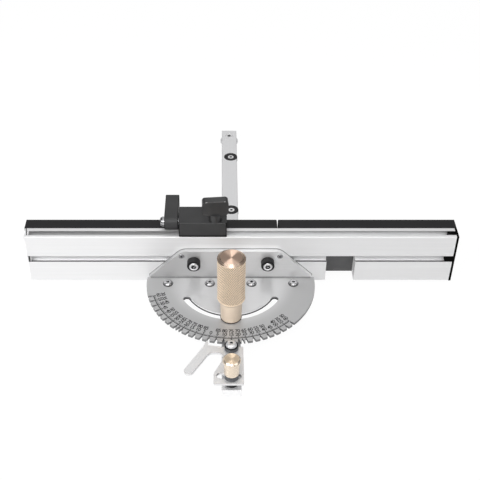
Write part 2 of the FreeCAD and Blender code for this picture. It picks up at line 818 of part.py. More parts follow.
def stop_pivot_screw():
    """Shoulder screw through the arm's knuckle into the block."""
    pivot = arm_pivot()
    shoulder = arm_width + arm_gap + seat_gap
    screw = turned([
        (0, -shoulder - arm_screw_thread_length), (arm_screw_thread, -shoulder - arm_screw_thread_length),
        (arm_screw_thread, -shoulder), (arm_screw_shoulder, -shoulder), (arm_screw_shoulder, 0),
        (arm_screw_head_radius, 0), (arm_screw_head_radius, 0.45 * arm_screw_head_height),
        (0.82 * arm_screw_head_radius, 0.85 * arm_screw_head_height),
        (0.5 * arm_screw_head_radius, arm_screw_head_height), (0, arm_screw_head_height)])
    screw = screw.cut(hexagon(button_socket, 0.4 * arm_screw_head_height, 2 * arm_screw_head_height))
    return placed(screw, Vector(-stop_left - shoulder, pivot.y, pivot.z), Vector(-1, 0, 0))


def stop_arm():
    """Flip arm: a round knuckle, a level bar and a tapering finger behind the boards."""
    pivot = arm_pivot()
    low = pivot.z - arm_knuckle
    high = pivot.z + arm_knuckle
    finger_front = board_rear + arm_finger_gap
    finger_rear = finger_front + arm_finger_top
    tip = fence_top - arm_finger_drop
    arm = section_along_x([
        (pivot.y, low, 0), (finger_front, low, arm_corner), (finger_front, tip, arm_corner),
        (finger_front + arm_finger_tip, tip, arm_corner), (finger_rear, high - arm_knuckle, 0),
        (finger_rear, high, arm_corner), (pivot.y, high, 0)], arm_right_x - arm_width, arm_right_x)
    start = Vector(arm_right_x - arm_width, pivot.y, pivot.z)
    right = Vector(1, 0, 0)
    knuckle = cylinder_along(arm_knuckle, start, right, arm_width)
    bore = cylinder_along(arm_screw_shoulder + run_clearance, start - right, right, arm_width + 2)
    return fused([arm, knuckle]).cut(bore)


def stop_knob():
    """Wing knob: a round hub with an upright paddle."""
    bottom = stop_top() + seat_gap
    hub_top = bottom + wing_hub_height
    wing_top = hub_top + wing_height
    half = wing_width / 2
    hub = cylinder(wing_hub_radius, 0, 0, bottom, hub_top + 2)
    wing = section_along_y([(-half, hub_top, wing_corner), (half, hub_top, wing_corner),
                            (half, wing_top, wing_corner), (-half, wing_top, wing_corner)],
                           -wing_thickness / 2, wing_thickness / 2)
    bore_top = stop_top() + stop_bolt_rise + 1
    bore = cylinder(stop_bolt_radius + run_clearance, 0, 0, bottom - 1, bore_top)
    hub = hub.cut(box(-half, half, -half, half, hub_top + 0.5, wing_top + 1))
    knob = fused([hub, wing]).cut(bore)
    knob.rotate(Vector(0, 0, 0), Vector(0, 0, 1), wing_turn)
    knob.translate(Vector(stop_knob_x, top_slot_y, 0))
    return knob


# The handle, the lock knob and the index lever

def clamp_handle():
    """Turned brass handle with a smooth neck and a thicker knurled grip."""
    grip_bottom = neck_height + shoulder_height
    handle = turned([
        (0, 0), (neck_bottom_radius - edge_break, 0), (neck_bottom_radius, edge_break),
        (neck_top_radius, neck_height), (grip_radius, grip_bottom),
        (grip_radius, handle_length - grip_bevel_height),
        (grip_radius - grip_bevel_width, handle_length), (0, handle_length)])
    handle = handle.cut(cylinder(stud_radius + run_clearance, 0, 0, -1, stud_rise + 1))
    return placed(handle, Vector(0, -clamp_radius, handle_bottom()), Vector(0, 0, 1))


def lock_knob():
    """Small turned brass knob with a wider bevelled cap."""
    cap_bottom = lock_knob_length - lock_cap_height
    knob = turned([
        (0, 0), (lock_body_radius - edge_break, 0), (lock_body_radius, edge_break),
        (lock_body_radius, cap_bottom - edge_break), (lock_cap_radius, cap_bottom + edge_break),
        (lock_cap_radius, lock_knob_length - lock_cap_bevel),
        (lock_cap_radius - lock_cap_bevel, lock_knob_length), (0, lock_knob_length)])
    knob = knob.cut(cylinder(lock_stud_radius + run_clearance, 0, 0, -1, lock_stud_rise + 1))
    return placed(knob, Vector(0, lock_y, lock_knob_bottom()), Vector(0, 0, 1))


def index_pivot_axis():
    return Vector(0, index_pivot_y, 0), Vector(0, 0, 1)


def lever_tooth():
    """Wedge that fills a rim notch when engaged, turned back to the lever's rest."""
    slope = (notch_mouth / 2 - notch_root_radius) / (notch_depth - notch_root_radius)
    tip_y = -(plate_radius - tooth_reach)
    foot_y = -(plate_radius + lever_rim_gap)
    tip_half = notch_mouth / 2 - slope * tooth_reach - tooth_clearance
    foot_half = tip_half + slope * (tip_y - foot_y)
    tooth = flat_piece([(-tip_half, tip_y, 0), (-foot_half, foot_y, 0), (foot_half, foot_y, 0),
                        (tip_half, tip_y, 0)], plate_bottom + seat_gap,
                       plate_bottom + seat_gap + lever_thickness)
    tooth.rotate(Vector(0, 0, 0), Vector(0, 0, 1), index_angle)
    tooth.rotate(*index_pivot_axis(), engage_angle)
    return tooth


def tooth_foot():
    """Where the tooth's centre line meets the lever, at rest."""
    foot = Vector(0, -(plate_radius + lever_rim_gap), 0)
    foot = Rotation(Vector(0, 0, 1), index_angle).multVec(foot)
    pivot, up = index_pivot_axis()
    return pivot + Rotation(up, engage_angle).multVec(foot - pivot)


def index_lever():
    """Stamped lever: a lock plate with a curved slot, a tooth and a thumb arm round an open bay."""
    turn = math.radians(thumb_direction)
    along = Vector(math.cos(turn), math.sin(turn), 0)
    across = Vector(along.y, -along.x, 0)
    start = tooth_foot() + Vector(thumb_offset, 0, 0)
    end = start + along * (thumb_length + thumb_half_width)
    left_top = start + across * thumb_half_width - along * lever_rim_gap
    left_end = end + across * thumb_half_width
    right_end = end - across * thumb_half_width
    bay_rear = index_pivot_y - bay_drop
    bay_front = bay_rear - bay_length
    front = lock_y - lever_front
    right_edge = start - across * thumb_half_width
    bay_left = right_edge + along * ((bay_rear - right_edge.y) / along.y)
    end_radius = 0.98 * thumb_half_width
    bay_width = -bay_right - bay_left.x
    thumb_round = min(0.9 * bay_right, 0.6 * bay_width)
    bay_round = min(0.8 * bay_length, 0.55 * bay_width)
    bottom = plate_bottom + seat_gap
    top = bottom + lever_thickness
    lever = flat_piece([
        (lever_right, front, lever_corner), (lever_right, index_pivot_y + index_standoff, 0),
        (left_top.x, left_top.y, 0), (left_end.x, left_end.y, end_radius),
        (right_end.x, right_end.y, end_radius), (bay_left.x, bay_rear, thumb_round),
        (-bay_right, bay_rear, bay_round), (-bay_right, bay_front, lever_shoulder),
        (-lever_left, lock_y + lever_shoulder, lever_front), (-lever_left, front, lever_corner)],
        bottom, top)
    rear_curve = cylinder(plate_radius + lever_rim_gap, 0, 0, bottom - 1, top + 1)
    lever = fused([lever.cut(rear_curve), lever_tooth()])
    bore = cylinder(index_shoulder_radius + run_clearance, 0, index_pivot_y, 0, 2 * top)
    slot = arc_slot(index_pivot_y, lock_radius, lock_stud_radius + lever_slot_clearance,
                    -release_angle - lever_slot_margin, engage_angle + lever_slot_margin,
                    bottom - 1, top + 1)
    return lever.cut([bore, slot])


NODES = {
    "runner_bar": runner_bar,
    "guide_washer": guide_washer,
    "guide_screw": guide_screw,
    "expansion_discs": expansion_discs,
    "expansion_screws": expansion_screws,
    "pivot_screw": pivot_screw,
    "pivot_washer": pivot_washer,
    "slide_pad": slide_pad,
    "clamp_stud": clamp_stud,
    "handle_washer": handle_washer,
    "index_spacers": index_spacers,
    "index_collars": index_collars,
    "index_screw": index_screw,
    "lock_stud": lock_stud,
    "protractor_plate": protractor_plate,
    "bracket": bracket,
    "plate_screws": plate_screws,
    "bolt_sleeves": bolt_sleeves,
    "fence_bolts": fence_bolts,
    "fence_nuts": fence_nuts,
    "squaring_screws": squaring_screws,
    "fence_extrusion": fence_extrusion,
    "left_end_cap": lambda: end_cap(-fence_left, -1, left_cap_thickness, left_cap_plug, 0),
    "right_end_cap": lambda: end_cap(fence_right, 1, cap_thickness, cap_plug, cap_overhang),
    "left_board": left_board,
    "right_board": right_board,
    "board_screws": board_screws,
    "board_nuts": board_nuts,
    "stop_block": stop_block,
    "stop_bolt": stop_bolt,
    "stop_pivot_screw": stop_pivot_screw,
    "stop_arm": stop_arm,
    "stop_knob": stop_knob,
    "clamp_handle": clamp_handle,
    "lock_knob": lock_knob,
    "index_lever": index_lever,
}

os.makedirs("parts", exist_ok=True)
for node, build in NODES.items():
    shape = build()
    print(node, "solids", len(shape.Solids), "valid", shape.isValid(), "volume", round(shape.Volume, 1))
    shape.exportStep("parts/" + node + ".step")
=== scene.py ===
"""A miter gauge for a table saw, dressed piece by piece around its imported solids, in metres."""
import json
import math

import bmesh
import bpy
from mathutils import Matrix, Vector

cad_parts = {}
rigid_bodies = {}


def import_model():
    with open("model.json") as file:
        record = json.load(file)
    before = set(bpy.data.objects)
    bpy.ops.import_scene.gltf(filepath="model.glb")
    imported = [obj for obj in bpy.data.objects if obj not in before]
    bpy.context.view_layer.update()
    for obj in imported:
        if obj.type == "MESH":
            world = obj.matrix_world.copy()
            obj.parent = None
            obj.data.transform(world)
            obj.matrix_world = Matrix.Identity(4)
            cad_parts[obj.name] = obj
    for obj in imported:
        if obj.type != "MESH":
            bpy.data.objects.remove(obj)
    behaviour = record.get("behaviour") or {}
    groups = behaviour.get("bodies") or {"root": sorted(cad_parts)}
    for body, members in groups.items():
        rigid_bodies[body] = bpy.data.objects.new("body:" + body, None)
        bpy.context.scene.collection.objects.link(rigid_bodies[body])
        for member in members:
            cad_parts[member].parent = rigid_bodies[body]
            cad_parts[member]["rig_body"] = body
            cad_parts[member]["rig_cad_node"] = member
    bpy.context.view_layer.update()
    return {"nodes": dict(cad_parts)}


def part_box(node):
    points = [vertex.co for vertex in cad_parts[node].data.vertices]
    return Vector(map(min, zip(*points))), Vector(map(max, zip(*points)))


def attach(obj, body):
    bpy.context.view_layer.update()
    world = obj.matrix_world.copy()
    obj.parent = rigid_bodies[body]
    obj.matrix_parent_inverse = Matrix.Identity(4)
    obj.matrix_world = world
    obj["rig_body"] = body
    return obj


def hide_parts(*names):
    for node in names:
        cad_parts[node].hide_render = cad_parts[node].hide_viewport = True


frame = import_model()
nodes = frame["nodes"]
bpy.ops.object.select_all(action="DESELECT")
MM = 0.001


# The runner bar is a flat of cold-drawn steel, ground along its length, with every long edge broken.
# The guide washer under its rear end is turned from the same steel.
WELD, SHARP = 0.002 * MM, math.radians(35)


def new_material(name):
    """A new material with its node tree and its shader."""
    material = bpy.data.materials.new(name)
    material.use_nodes = True
    tree = material.node_tree
    return material, tree, tree.nodes["Principled BSDF"]


def noise(tree, place, scale, detail=2.0):
    """Soft noise; its scale is per metre of the place that it reads."""
    cloud = tree.nodes.new("ShaderNodeTexNoise")
    cloud.inputs["Scale"].default_value = scale
    cloud.inputs["Detail"].default_value = detail
    tree.links.new(place, cloud.inputs["Vector"])
    return cloud


def remap(tree, value, before, after, interpolation="LINEAR"):
    """Carries a value over from one range to another."""
    span = tree.nodes.new("ShaderNodeMapRange")
    span.interpolation_type = interpolation
    span.inputs["From Min"].default_value, span.inputs["From Max"].default_value = before
    span.inputs["To Min"].default_value, span.inputs["To Max"].default_value = after
    tree.links.new(value, span.inputs["Value"])
    return span.outputs["Result"]


def shade(material, factor, colour=None):
    """Multiplies a given colour, or else the material's own, by a factor that varies over the piece."""
    tree = material.node_tree
    shader = tree.nodes["Principled BSDF"]
    scaled = tree.nodes.new("ShaderNodeVectorMath")
    scaled.operation = "SCALE"
    if colour:
        scaled.inputs[0].default_value = colour
    else:
        tree.links.new(shader.inputs["Base Color"].links[0].from_socket, scaled.inputs[0])
    tree.links.new(factor, scaled.inputs["Scale"])
    tree.links.new(scaled.outputs["Vector"], shader.inputs["Base Color"])


def fine_grain(tree, shader, grain, before, roughness, relief):
    """Lets the roughness and a faint relief follow one grain."""
    tree.links.new(remap(tree, grain, before, roughness), shader.inputs["Roughness"])
    bump = tree.nodes.new("ShaderNodeBump")
    bump.inputs["Strength"].default_value = relief
    bump.inputs["Distance"].default_value = 0.1 * MM
    tree.links.new(grain, bump.inputs["Height"])
    tree.links.new(bump.outputs["Normal"], shader.inputs["Normal"])


def metal(name, colour, roughness, grain, tone=0.06, relief=0.04, anisotropy=0.0, cloud=0.0, cloud_scale=18.0,
          metallic=1.0):
    """Bare metal whose machining grain runs along the axis with the smallest grain number (per metre)."""
    material, tree, shader = new_material(name)
    shader.inputs["Metallic"].default_value = metallic
    shader.inputs["Anisotropic"].default_value = anisotropy
    place = tree.nodes.new("ShaderNodeTexCoord").outputs["Object"]
    stretch = tree.nodes.new("ShaderNodeMapping")
    stretch.inputs["Scale"].default_value = grain
    tree.links.new(place, stretch.inputs["Vector"])
    lines = noise(tree, stretch.outputs["Vector"], 1.0, 5.0)
    lines.inputs["Roughness"].default_value = 0.6
    streak = remap(tree, lines.outputs["Fac"], (0.3, 0.7), (1.0 - tone, 1.0))
    clouds = noise(tree, place, cloud_scale)
    patch = remap(tree, clouds.outputs["Fac"], (0.35, 0.65), (1.0 - cloud, 1.0))
    both = tree.nodes.new("ShaderNodeMath")
    both.operation = "MULTIPLY"
    tree.links.new(streak, both.inputs[0])
    tree.links.new(patch, both.inputs[1])
    shade(material, both.outputs["Value"], colour)
    fine_grain(tree, shader, lines.outputs["Fac"], (0.3, 0.7), (roughness * 0.85, roughness * 1.2), relief)
    return material


def dress(names, material):
    """Gives whole CAD pieces one material."""
    for name in names:
        nodes[name].data.materials.clear()
        nodes[name].data.materials.append(material)


def dress_faces(piece, material, wanted):
    """Adds a material to a piece and gives it to the faces that pass a test."""
    piece.data.materials.append(material)
    for face in piece.data.polygons:
        if wanted(face):
            face.material_index = len(piece.data.materials) - 1


def loose_copy(node, name):
    """A free copy of a CAD piece, left in edit mode with its stored normals cleared."""
    bpy.ops.object.select_all(action="DESELECT")
    piece = nodes[node].copy()
    piece.data = nodes[node].data.copy()
    piece.parent = None
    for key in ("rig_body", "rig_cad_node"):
        if key in piece:
            del piece[key]
    piece.name = name
    bpy.context.scene.collection.objects.link(piece)
    piece.hide_viewport = piece.hide_render = False
    piece.hide_set(False)
    bpy.context.view_layer.objects.active = piece
    piece.select_set(True)
    bpy.ops.object.mode_set(mode="EDIT")
    bpy.ops.mesh.customdata_custom_splitnormals_clear()
    return piece


def softened(node, name, body, width, material):
    """A copy of a CAD piece with its sharp edges rounded over, standing for that piece."""
    piece = loose_copy(node, name)
    bpy.ops.mesh.select_all(action="SELECT")
    bpy.ops.mesh.remove_doubles(threshold=WELD)
    bpy.ops.mesh.dissolve_limited(angle_limit=math.radians(0.5))
    bpy.ops.object.mode_set(mode="OBJECT")
    edge = piece.modifiers.new("rounded edges", "BEVEL")
    edge.width = width
    edge.segments = 3
    edge.limit_method = "ANGLE"
    edge.angle_limit = SHARP
    bpy.ops.object.modifier_apply(modifier=edge.name)
    bpy.ops.object.shade_smooth_by_angle(angle=SHARP)
    flats = piece.modifiers.new("flat faces", "WEIGHTED_NORMAL")
    flats.weight = 100
    flats.keep_sharp = True
    bpy.ops.object.modifier_apply(modifier=flats.name)
    piece.data.materials.clear()
    piece.data.materials.append(material)
    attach(piece, body)
    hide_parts(node)
    piece.select_set(False)
    return piece


bar_steel = metal("ground_bar_steel", (0.88, 0.88, 0.89), 0.40, (900.0, 18.0, 900.0), tone=0.04,
                  metallic=0.65)
dress(["guide_washer"], bar_steel)
bar = softened("runner_bar", "runner_bar_ground", "runner", 0.25 * MM, bar_steel)
# The bar's front end face gets a near-white painted light.
bar_end_light = metal("bar_end_painted_light", (0.98, 0.98, 0.985), 0.55, (300.0, 300.0, 900.0), tone=0.03, metallic=0.2)
dress_faces(bar, bar_end_light, lambda face: face.normal.y < -0.9 and face.area > 20 * MM * MM)


# The nylon pieces are moulded black: the discs let into the bar, the slide pad, and the spacers and
# collars of the index lever.  The skin is even and faintly pebbled from the mould.
def moulded(name, colour, roughness, pebble, relief=0.12, gloss=0.4):
    """Moulded or coated skin with a fine pebble (per metre)."""
    material, tree, shader = new_material(name)
    shader.inputs["Specular IOR Level"].default_value = gloss
    place = tree.nodes.new("ShaderNodeTexCoord").outputs["Object"]
    grain = noise(tree, place, pebble, 3.0).outputs["Fac"]
    patches = noise(tree, place, 35.0).outputs["Fac"]
    shade(material, remap(tree, patches, (0.3, 0.7), (0.85, 1.15)), colour)
    fine_grain(tree, shader, grain, (0.0, 1.0), (roughness * 0.85, roughness * 1.15), relief)
    return material


nylon = moulded("black_nylon", (0.012, 0.012, 0.013), 0.40, 2500.0, gloss=0.3)
dress(["expansion_discs", "slide_pad", "pivot_washer", "handle_washer"], nylon)
softened("index_spacers", "index_spacers_turned", "runner", 0.3 * MM, nylon)
collars = softened("index_collars", "index_collars_turned", "runner", 0.4 * MM, nylon)
# The collars' upright walls are turned glossier and painted lighter, a painted sheen.
collar_wall_sheen = moulded("turned_nylon_wall_sheen", (0.065, 0.068, 0.075), 0.30, 2500.0, gloss=0.5)
dress_faces(collars, collar_wall_sheen, lambda face: abs(face.normal.z) < 0.1)
softened("bolt_sleeves", "bolt_sleeves_turned", "head", 0.4 * MM, nylon)

# The screws, studs and nuts are zinc-plated steel: bright on most, grey on the plate's button heads, and
# dark on the squaring screws and the stop's pivot.  The sockets are painted black inside, a painted shade.
plated = metal("bright_plated_steel", (0.86, 0.86, 0.87), 0.20, (700.0, 700.0, 700.0), tone=0.1)
screw_steel = metal("grey_zinc_steel", (0.62, 0.62, 0.63), 0.24, (900.0, 900.0, 900.0), tone=0.25)
dark_zinc = metal("dark_zinc_steel", (0.50, 0.50, 0.51), 0.20, (900.0, 900.0, 900.0), tone=0.3)
painted_shade_black = moulded("painted_shade_black_steel", (0.012, 0.012, 0.013), 0.45, 2500.0, gloss=0.2)
dress(["pivot_screw", "clamp_stud", "lock_stud", "fence_nuts", "board_nuts", "stop_bolt"], plated)
UP, FRONT, LEFT, REAR = Vector((0, 0, 1)), Vector((0, -1, 0)), Vector((-1, 0, 0)), Vector((0, 1, 0))


def loose_parts(mesh):
    """The separate parts of a mesh, each as the set of its vertices."""
    left = set(mesh.verts)
    parts = []
    while left:
        part = {left.pop()}
        reached = set(part)
        while reached:
            reached = {edge.other_vert(vert) for vert in reached for edge in vert.link_edges} - part
            part |= reached
        left -= part
        parts.append(part)
    return parts


def socket_screws(node, name, body, axis, across, depth, finish=plated):
    """Screws with softened edges and sockets painted black as a painted shade; the axis points out of the
    heads.
    """
    piece = softened(node, name, body, 0.2 * MM, finish)
    piece.data.materials.append(painted_shade_black)
    heads = bmesh.new()
    heads.from_mesh(piece.data)
    for screw in loose_parts(heads):
        end = max(vert.co.dot(axis) for vert in screw)
        flat = [vert.co - axis * vert.co.dot(axis) for vert in screw]
        centre = Vector([(min(p[i] for p in flat) + max(p[i] for p in flat)) / 2 for i in range(3)])
        for face in {face for vert in screw for face in vert.link_faces}:
            reach = max((vert.co - axis * vert.co.dot(axis) - centre).length for vert in face.verts)
            in_socket = reach < 0.6 * across and face.calc_center_median().dot(axis) > end - depth
            if in_socket and face.normal.dot(axis) < 0.5:
                face.material_index = 1
    heads.to_mesh(piece.data)
    heads.free()


socket_screws("plate_screws", "plate_screw_heads", "head", UP, 3.0 * MM, 2.7 * MM, screw_steel)
socket_screws("fence_bolts", "fence_bolt_heads", "head", FRONT, 5.0 * MM, 3.5 * MM)
socket_screws("index_screw", "index_screw_head", "runner", UP, 3.0 * MM, 3.0 * MM, bar_steel)
socket_screws("guide_screw", "guide_screw_head", "runner", UP, 3.9 * MM, 2.0 * MM)
socket_screws("expansion_screws", "expansion_screw_heads", "runner", UP, 3.06 * MM, 1.6 * MM)
socket_screws("board_screws", "board_screw_heads", "fence", REAR, 4.25 * MM, 2.4 * MM)
socket_screws("squaring_screws", "squaring_screw_ends", "head", FRONT, 2.6 * MM, 3.0 * MM, dark_zinc)
socket_screws("stop_pivot_screw", "stop_screw_head", "stop", LEFT, 3.0 * MM, 4.0 * MM, dark_zinc)

# The protractor plate is laser-cut from 3 mm stainless sheet and brushed across, and painted darker
# towards its rim as painted shade.  Its cut edges round the rim and at the slot's ends are dull and
# darkened further as painted shade, and the arc slot's inner wall is painted bright as a painted
# highlight.  The bracket is an aluminium angle, brushed the same way, and painted darker towards its
# left as painted shade.
plate_steel = metal("brushed_plate_steel", (0.66, 0.66, 0.664), 0.46, (40.0, 1100.0, 1100.0),
                    anisotropy=0.92, cloud=0.06, cloud_scale=14.0)
tree = plate_steel.node_tree
across_grain = tree.nodes.new("ShaderNodeVectorTransform")
across_grain.vector_type = "VECTOR"
across_grain.convert_from = "OBJECT"
across_grain.convert_to = "WORLD"
across_grain.inputs["Vector"].default_value = (0, 1, 0)
tree.links.new(across_grain.outputs["Vector"], tree.nodes["Principled BSDF"].inputs["Tangent"])


def darker_outside(material, centre, near, far, share):
    """Paints shade: tones a colour down between two distances from an upright axis."""
    tree = material.node_tree
    place = tree.nodes.new("ShaderNodeTexCoord")
    flat = tree.nodes.new("ShaderNodeMapping")
    flat.inputs["Location"].default_value = (-centre.x, -centre.y, 0)
    flat.inputs["Scale"].default_value = (1, 1, 0)
    tree.links.new(place.outputs["Object"], flat.inputs["Vector"])
    distance = tree.nodes.new("ShaderNodeVectorMath")
    distance.operation = "LENGTH"
    tree.links.new(flat.outputs["Vector"], distance.inputs[0])
    shade(material, remap(tree, distance.outputs["Value"], (near, far), (1.0, share), "SMOOTHSTEP"))


# Painted shade: the plate is toned darker towards its rim.
darker_outside(plate_steel, Vector((0, 0, 0)), 46 * MM, 70 * MM, 0.72)
plate = softened("protractor_plate", "protractor_plate_brushed", "head", 0.2 * MM, plate_steel)
# The cut edges are dull and carry painted shade.
cut_edge_shade = metal("cut_edge_painted_shade", (0.34, 0.34, 0.345), 0.45, (900.0, 900.0, 300.0), tone=0.2)
# The slot's inner wall carries a painted highlight.
slot_wall_highlight = metal("slot_wall_painted_highlight", (0.98, 0.98, 0.985), 0.10, (900.0, 900.0, 300.0), tone=0.03)
plate.data.materials.append(cut_edge_shade)
plate.data.materials.append(slot_wall_highlight)
SLOT_RADIUS, SLOT_HALF, SLOT_END = 52.8 * MM, 3.8 * MM, math.radians(59.73)
INSIDE_RIM = 70 * MM
slot_end_x, slot_end_y = SLOT_RADIUS * math.sin(SLOT_END), -SLOT_RADIUS * math.cos(SLOT_END)
slot_ends = [Vector((side * slot_end_x, slot_end_y)) for side in (-1, 1)]
for face in plate.data.polygons:
    upright = abs(face.normal.z) < 0.3
    to_front = face.normal.y < -0.2
    from_pivot = face.center.xy.length
    at_slot_end = any((face.center.xy - end).length < 1.1 * SLOT_HALF for end in slot_ends)
    if upright and (from_pivot > INSIDE_RIM or (to_front and at_slot_end)):
        face.material_index = 1
    elif upright and to_front and abs(from_pivot - (SLOT_RADIUS - SLOT_HALF)) < 0.1 * MM:
        face.material_index = 2
bracket_metal = metal("brushed_bracket_aluminium", (0.92, 0.92, 0.925), 0.50, (40.0, 1100.0, 1100.0),
                      tone=0.05, cloud=0.06, metallic=0.65)
# Painted shade: the bracket is toned darker towards its left.
darker_outside(bracket_metal, Vector((90 * MM, 0, 0)), 60 * MM, 150 * MM, 0.74)
softened("bracket", "bracket_brushed", "head", 1.3 * MM, bracket_metal)
bracket_low, bracket_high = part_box("bracket")
fence_low, fence_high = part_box("fence_extrusion")
plate_low, plate_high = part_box("protractor_plate")
plate_top = plate_high.z


# A dark line of painted shade runs along the lower edge of the arc slot's inner wall.  Half of it is
# swept from the front round to the right end, and the other half is its mirror image.
def settled(name):
    """Names the piece just made and leaves it at the origin, unturned and unscaled."""
    piece = bpy.context.object
    piece.name = name
    bpy.ops.object.transform_apply(location=True, rotation=True, scale=True)
    return piece


def block(name, centre, size, turn=0.0):
    """A box, turned about the vertical through its centre."""
    bpy.ops.mesh.primitive_cube_add(size=1, location=centre, rotation=(0, 0, turn), scale=size)
    return settled(name)


def pick_end(piece, along):
    """Opens a box in edit mode with only the end that faces one way selected."""
    bpy.ops.object.mode_set(mode="EDIT")
    box = bmesh.from_edit_mesh(piece.data)
    for face in box.faces:
        face.select_set(face.normal.dot(along) > 0.9)
    bmesh.update_edit_mesh(piece.data)


def turn_outward():
    """Points every face of the piece in edit mode outward, and leaves edit mode."""
    bpy.ops.mesh.select_all(action="SELECT")
    bpy.ops.mesh.normals_make_consistent(inside=False)
    bpy.ops.object.mode_set(mode="OBJECT")


SHADE_LINE_WIDTH, SHADE_LINE_HEIGHT, SLICE = 0.5 * MM, 0.6 * MM, 0.02 * MM
shade_line_radius = SLOT_RADIUS - SLOT_HALF + SHADE_LINE_WIDTH / 2
shade_line_level = plate_low.z + SHADE_LINE_HEIGHT / 2
# A thin black strip of painted shade under the slot's inner wall.
slot_shade_line = block("slot_painted_shade_line", (0, -shade_line_radius, shade_line_level), (SLICE, SHADE_LINE_WIDTH, SHADE_LINE_HEIGHT))
pick_end(slot_shade_line, Vector((1, 0, 0)))
bpy.ops.mesh.spin(steps=40, angle=-SLOT_END, center=(0, 0, shade_line_level), axis=UP)
bpy.ops.mesh.spin(steps=12, angle=math.radians(120), center=(slot_end_x, slot_end_y, shade_line_level), axis=UP)
bpy.ops.mesh.select_all(action="SELECT")
bpy.ops.mesh.remove_doubles(threshold=WELD)
bpy.ops.mesh.duplicate()
bpy.ops.transform.resize(value=(-1, 1, 1), center_override=(0, 0, 0))
turn_outward()
slot_shade_line.data.materials.append(painted_shade_black)
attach(slot_shade_line, "head")
slot_shade_line.select_set(False)


# A grey strip of painted shade fills the corner between flange and plate, a thin sheet of painted shade
# behind the flange shows round its edge as a dark outline, and a black ring of painted shadow lies
# under each button head.
def round_over(width):
    """Rounds every edge of the piece just made."""
    bpy.ops.object.mode_set(mode="EDIT")
    bpy.ops.mesh.select_all(action="SELECT")
    bpy.ops.mesh.bevel(offset=width, segments=2, affect="EDGES")
    bpy.ops.object.mode_set(mode="OBJECT")


CREASE_DEPTH, CREASE_HEIGHT, CREASE_GAP, FLANGE = 2.0 * MM, 0.5 * MM, 1.5 * MM, 4.6 * MM
flange_width = bracket_high.x - bracket_low.x
flange_middle = (bracket_low.x + bracket_high.x) / 2
flange_front = fence_low.y - FLANGE
# Grey painted shade for the crease and the flange's outline.
shade_grey = moulded("painted_crease_shade", (0.26, 0.26, 0.263), 0.6, 1500.0, gloss=0.2)
crease_shade = block("flange_crease_shade", (flange_middle, flange_front - CREASE_DEPTH / 2, plate_top + CREASE_HEIGHT / 2),
             (flange_width - 2 * CREASE_GAP, CREASE_DEPTH, CREASE_HEIGHT))
round_over(0.2 * MM)
crease_shade.data.materials.append(shade_grey)
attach(crease_shade, "head")
crease_shade.select_set(False)

# A thin sheet of painted shade behind the flange, a little larger than it, draws its dark outline.
OUTLINE_EDGE, OUTLINE_THICKNESS = 0.55 * MM, 0.3 * MM
wider = 1 + 2 * OUTLINE_EDGE / flange_width
higher = 1 + OUTLINE_EDGE / (bracket_high.z - plate_top)
outline_shade = loose_copy("bracket", "flange_outline_shade")
outline = bmesh.from_edit_mesh(outline_shade.data)
for face in outline.faces:
    face.select_set(face.normal.y > -0.9 or face.calc_center_median().y > flange_front + 0.1 * MM)
bmesh.update_edit_mesh(outline_shade.data)
bpy.ops.mesh.delete(type="FACE")
bpy.ops.mesh.select_all(action="SELECT")
bpy.ops.mesh.remove_doubles(threshold=WELD)
bpy.ops.transform.resize(value=(wider, 1, higher), center_override=(flange_middle, 0, plate_top))
bpy.ops.transform.translate(value=(0, FLANGE, 0))
bpy.ops.mesh.extrude_region_move(TRANSFORM_OT_translate={"value": (0, -OUTLINE_THICKNESS, 0)})
turn_outward()
outline_shade.data.materials.clear()
outline_shade.data.materials.append(shade_grey)
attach(outline_shade, "head")
outline_shade.select_set(False)

HEAD, WIRE = 5.0 * MM, 0.4 * MM
screws_low, screws_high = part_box("plate_screws")
first_screw = (screws_low.x + HEAD, screws_high.y - HEAD)
screw_step = (screws_high.x - screws_low.x - 2 * HEAD) / 3
# Black rings of painted shadow round the plate's button heads.
bpy.ops.mesh.primitive_torus_add(location=(*first_screw, plate_top + 0.15 * MM), major_radius=HEAD,
                                 minor_radius=WIRE, major_segments=40, minor_segments=8)
head_shadow_rings = settled("plate_head_shadow_rings")
bpy.ops.object.mode_set(mode="EDIT")
bpy.ops.mesh.select_all(action="SELECT")
for next_ring in range(3):
    bpy.ops.mesh.duplicate()
    bpy.ops.transform.translate(value=(screw_step, 0, 0))
bpy.ops.object.mode_set(mode="OBJECT")
head_shadow_rings.data.materials.append(painted_shade_black)
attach(head_shadow_rings, "head")
head_shadow_rings.select_set(False)

# The index lever is one stamped plate with a tooth and a thumb arm.  Its face is brushed, and its
# rounded edges are painted darker and faintly brown as painted shade.
lever_steel = metal("brushed_lever_steel", (0.93, 0.93, 0.935), 0.48, (25.0, 1100.0, 1100.0), tone=0.03,
                    metallic=0.7)
lever_edge_shade = metal("lever_edge_painted_shade", (0.42, 0.38, 0.375), 0.5, (900.0, 900.0, 900.0), tone=0.1,
                   metallic=0.7)
lever = softened("index_lever", "index_lever_stamped", "index_lever", 0.45 * MM, lever_steel)
dress_faces(lever, lever_edge_shade, lambda face: 0.2 < face.normal.z < 0.9)

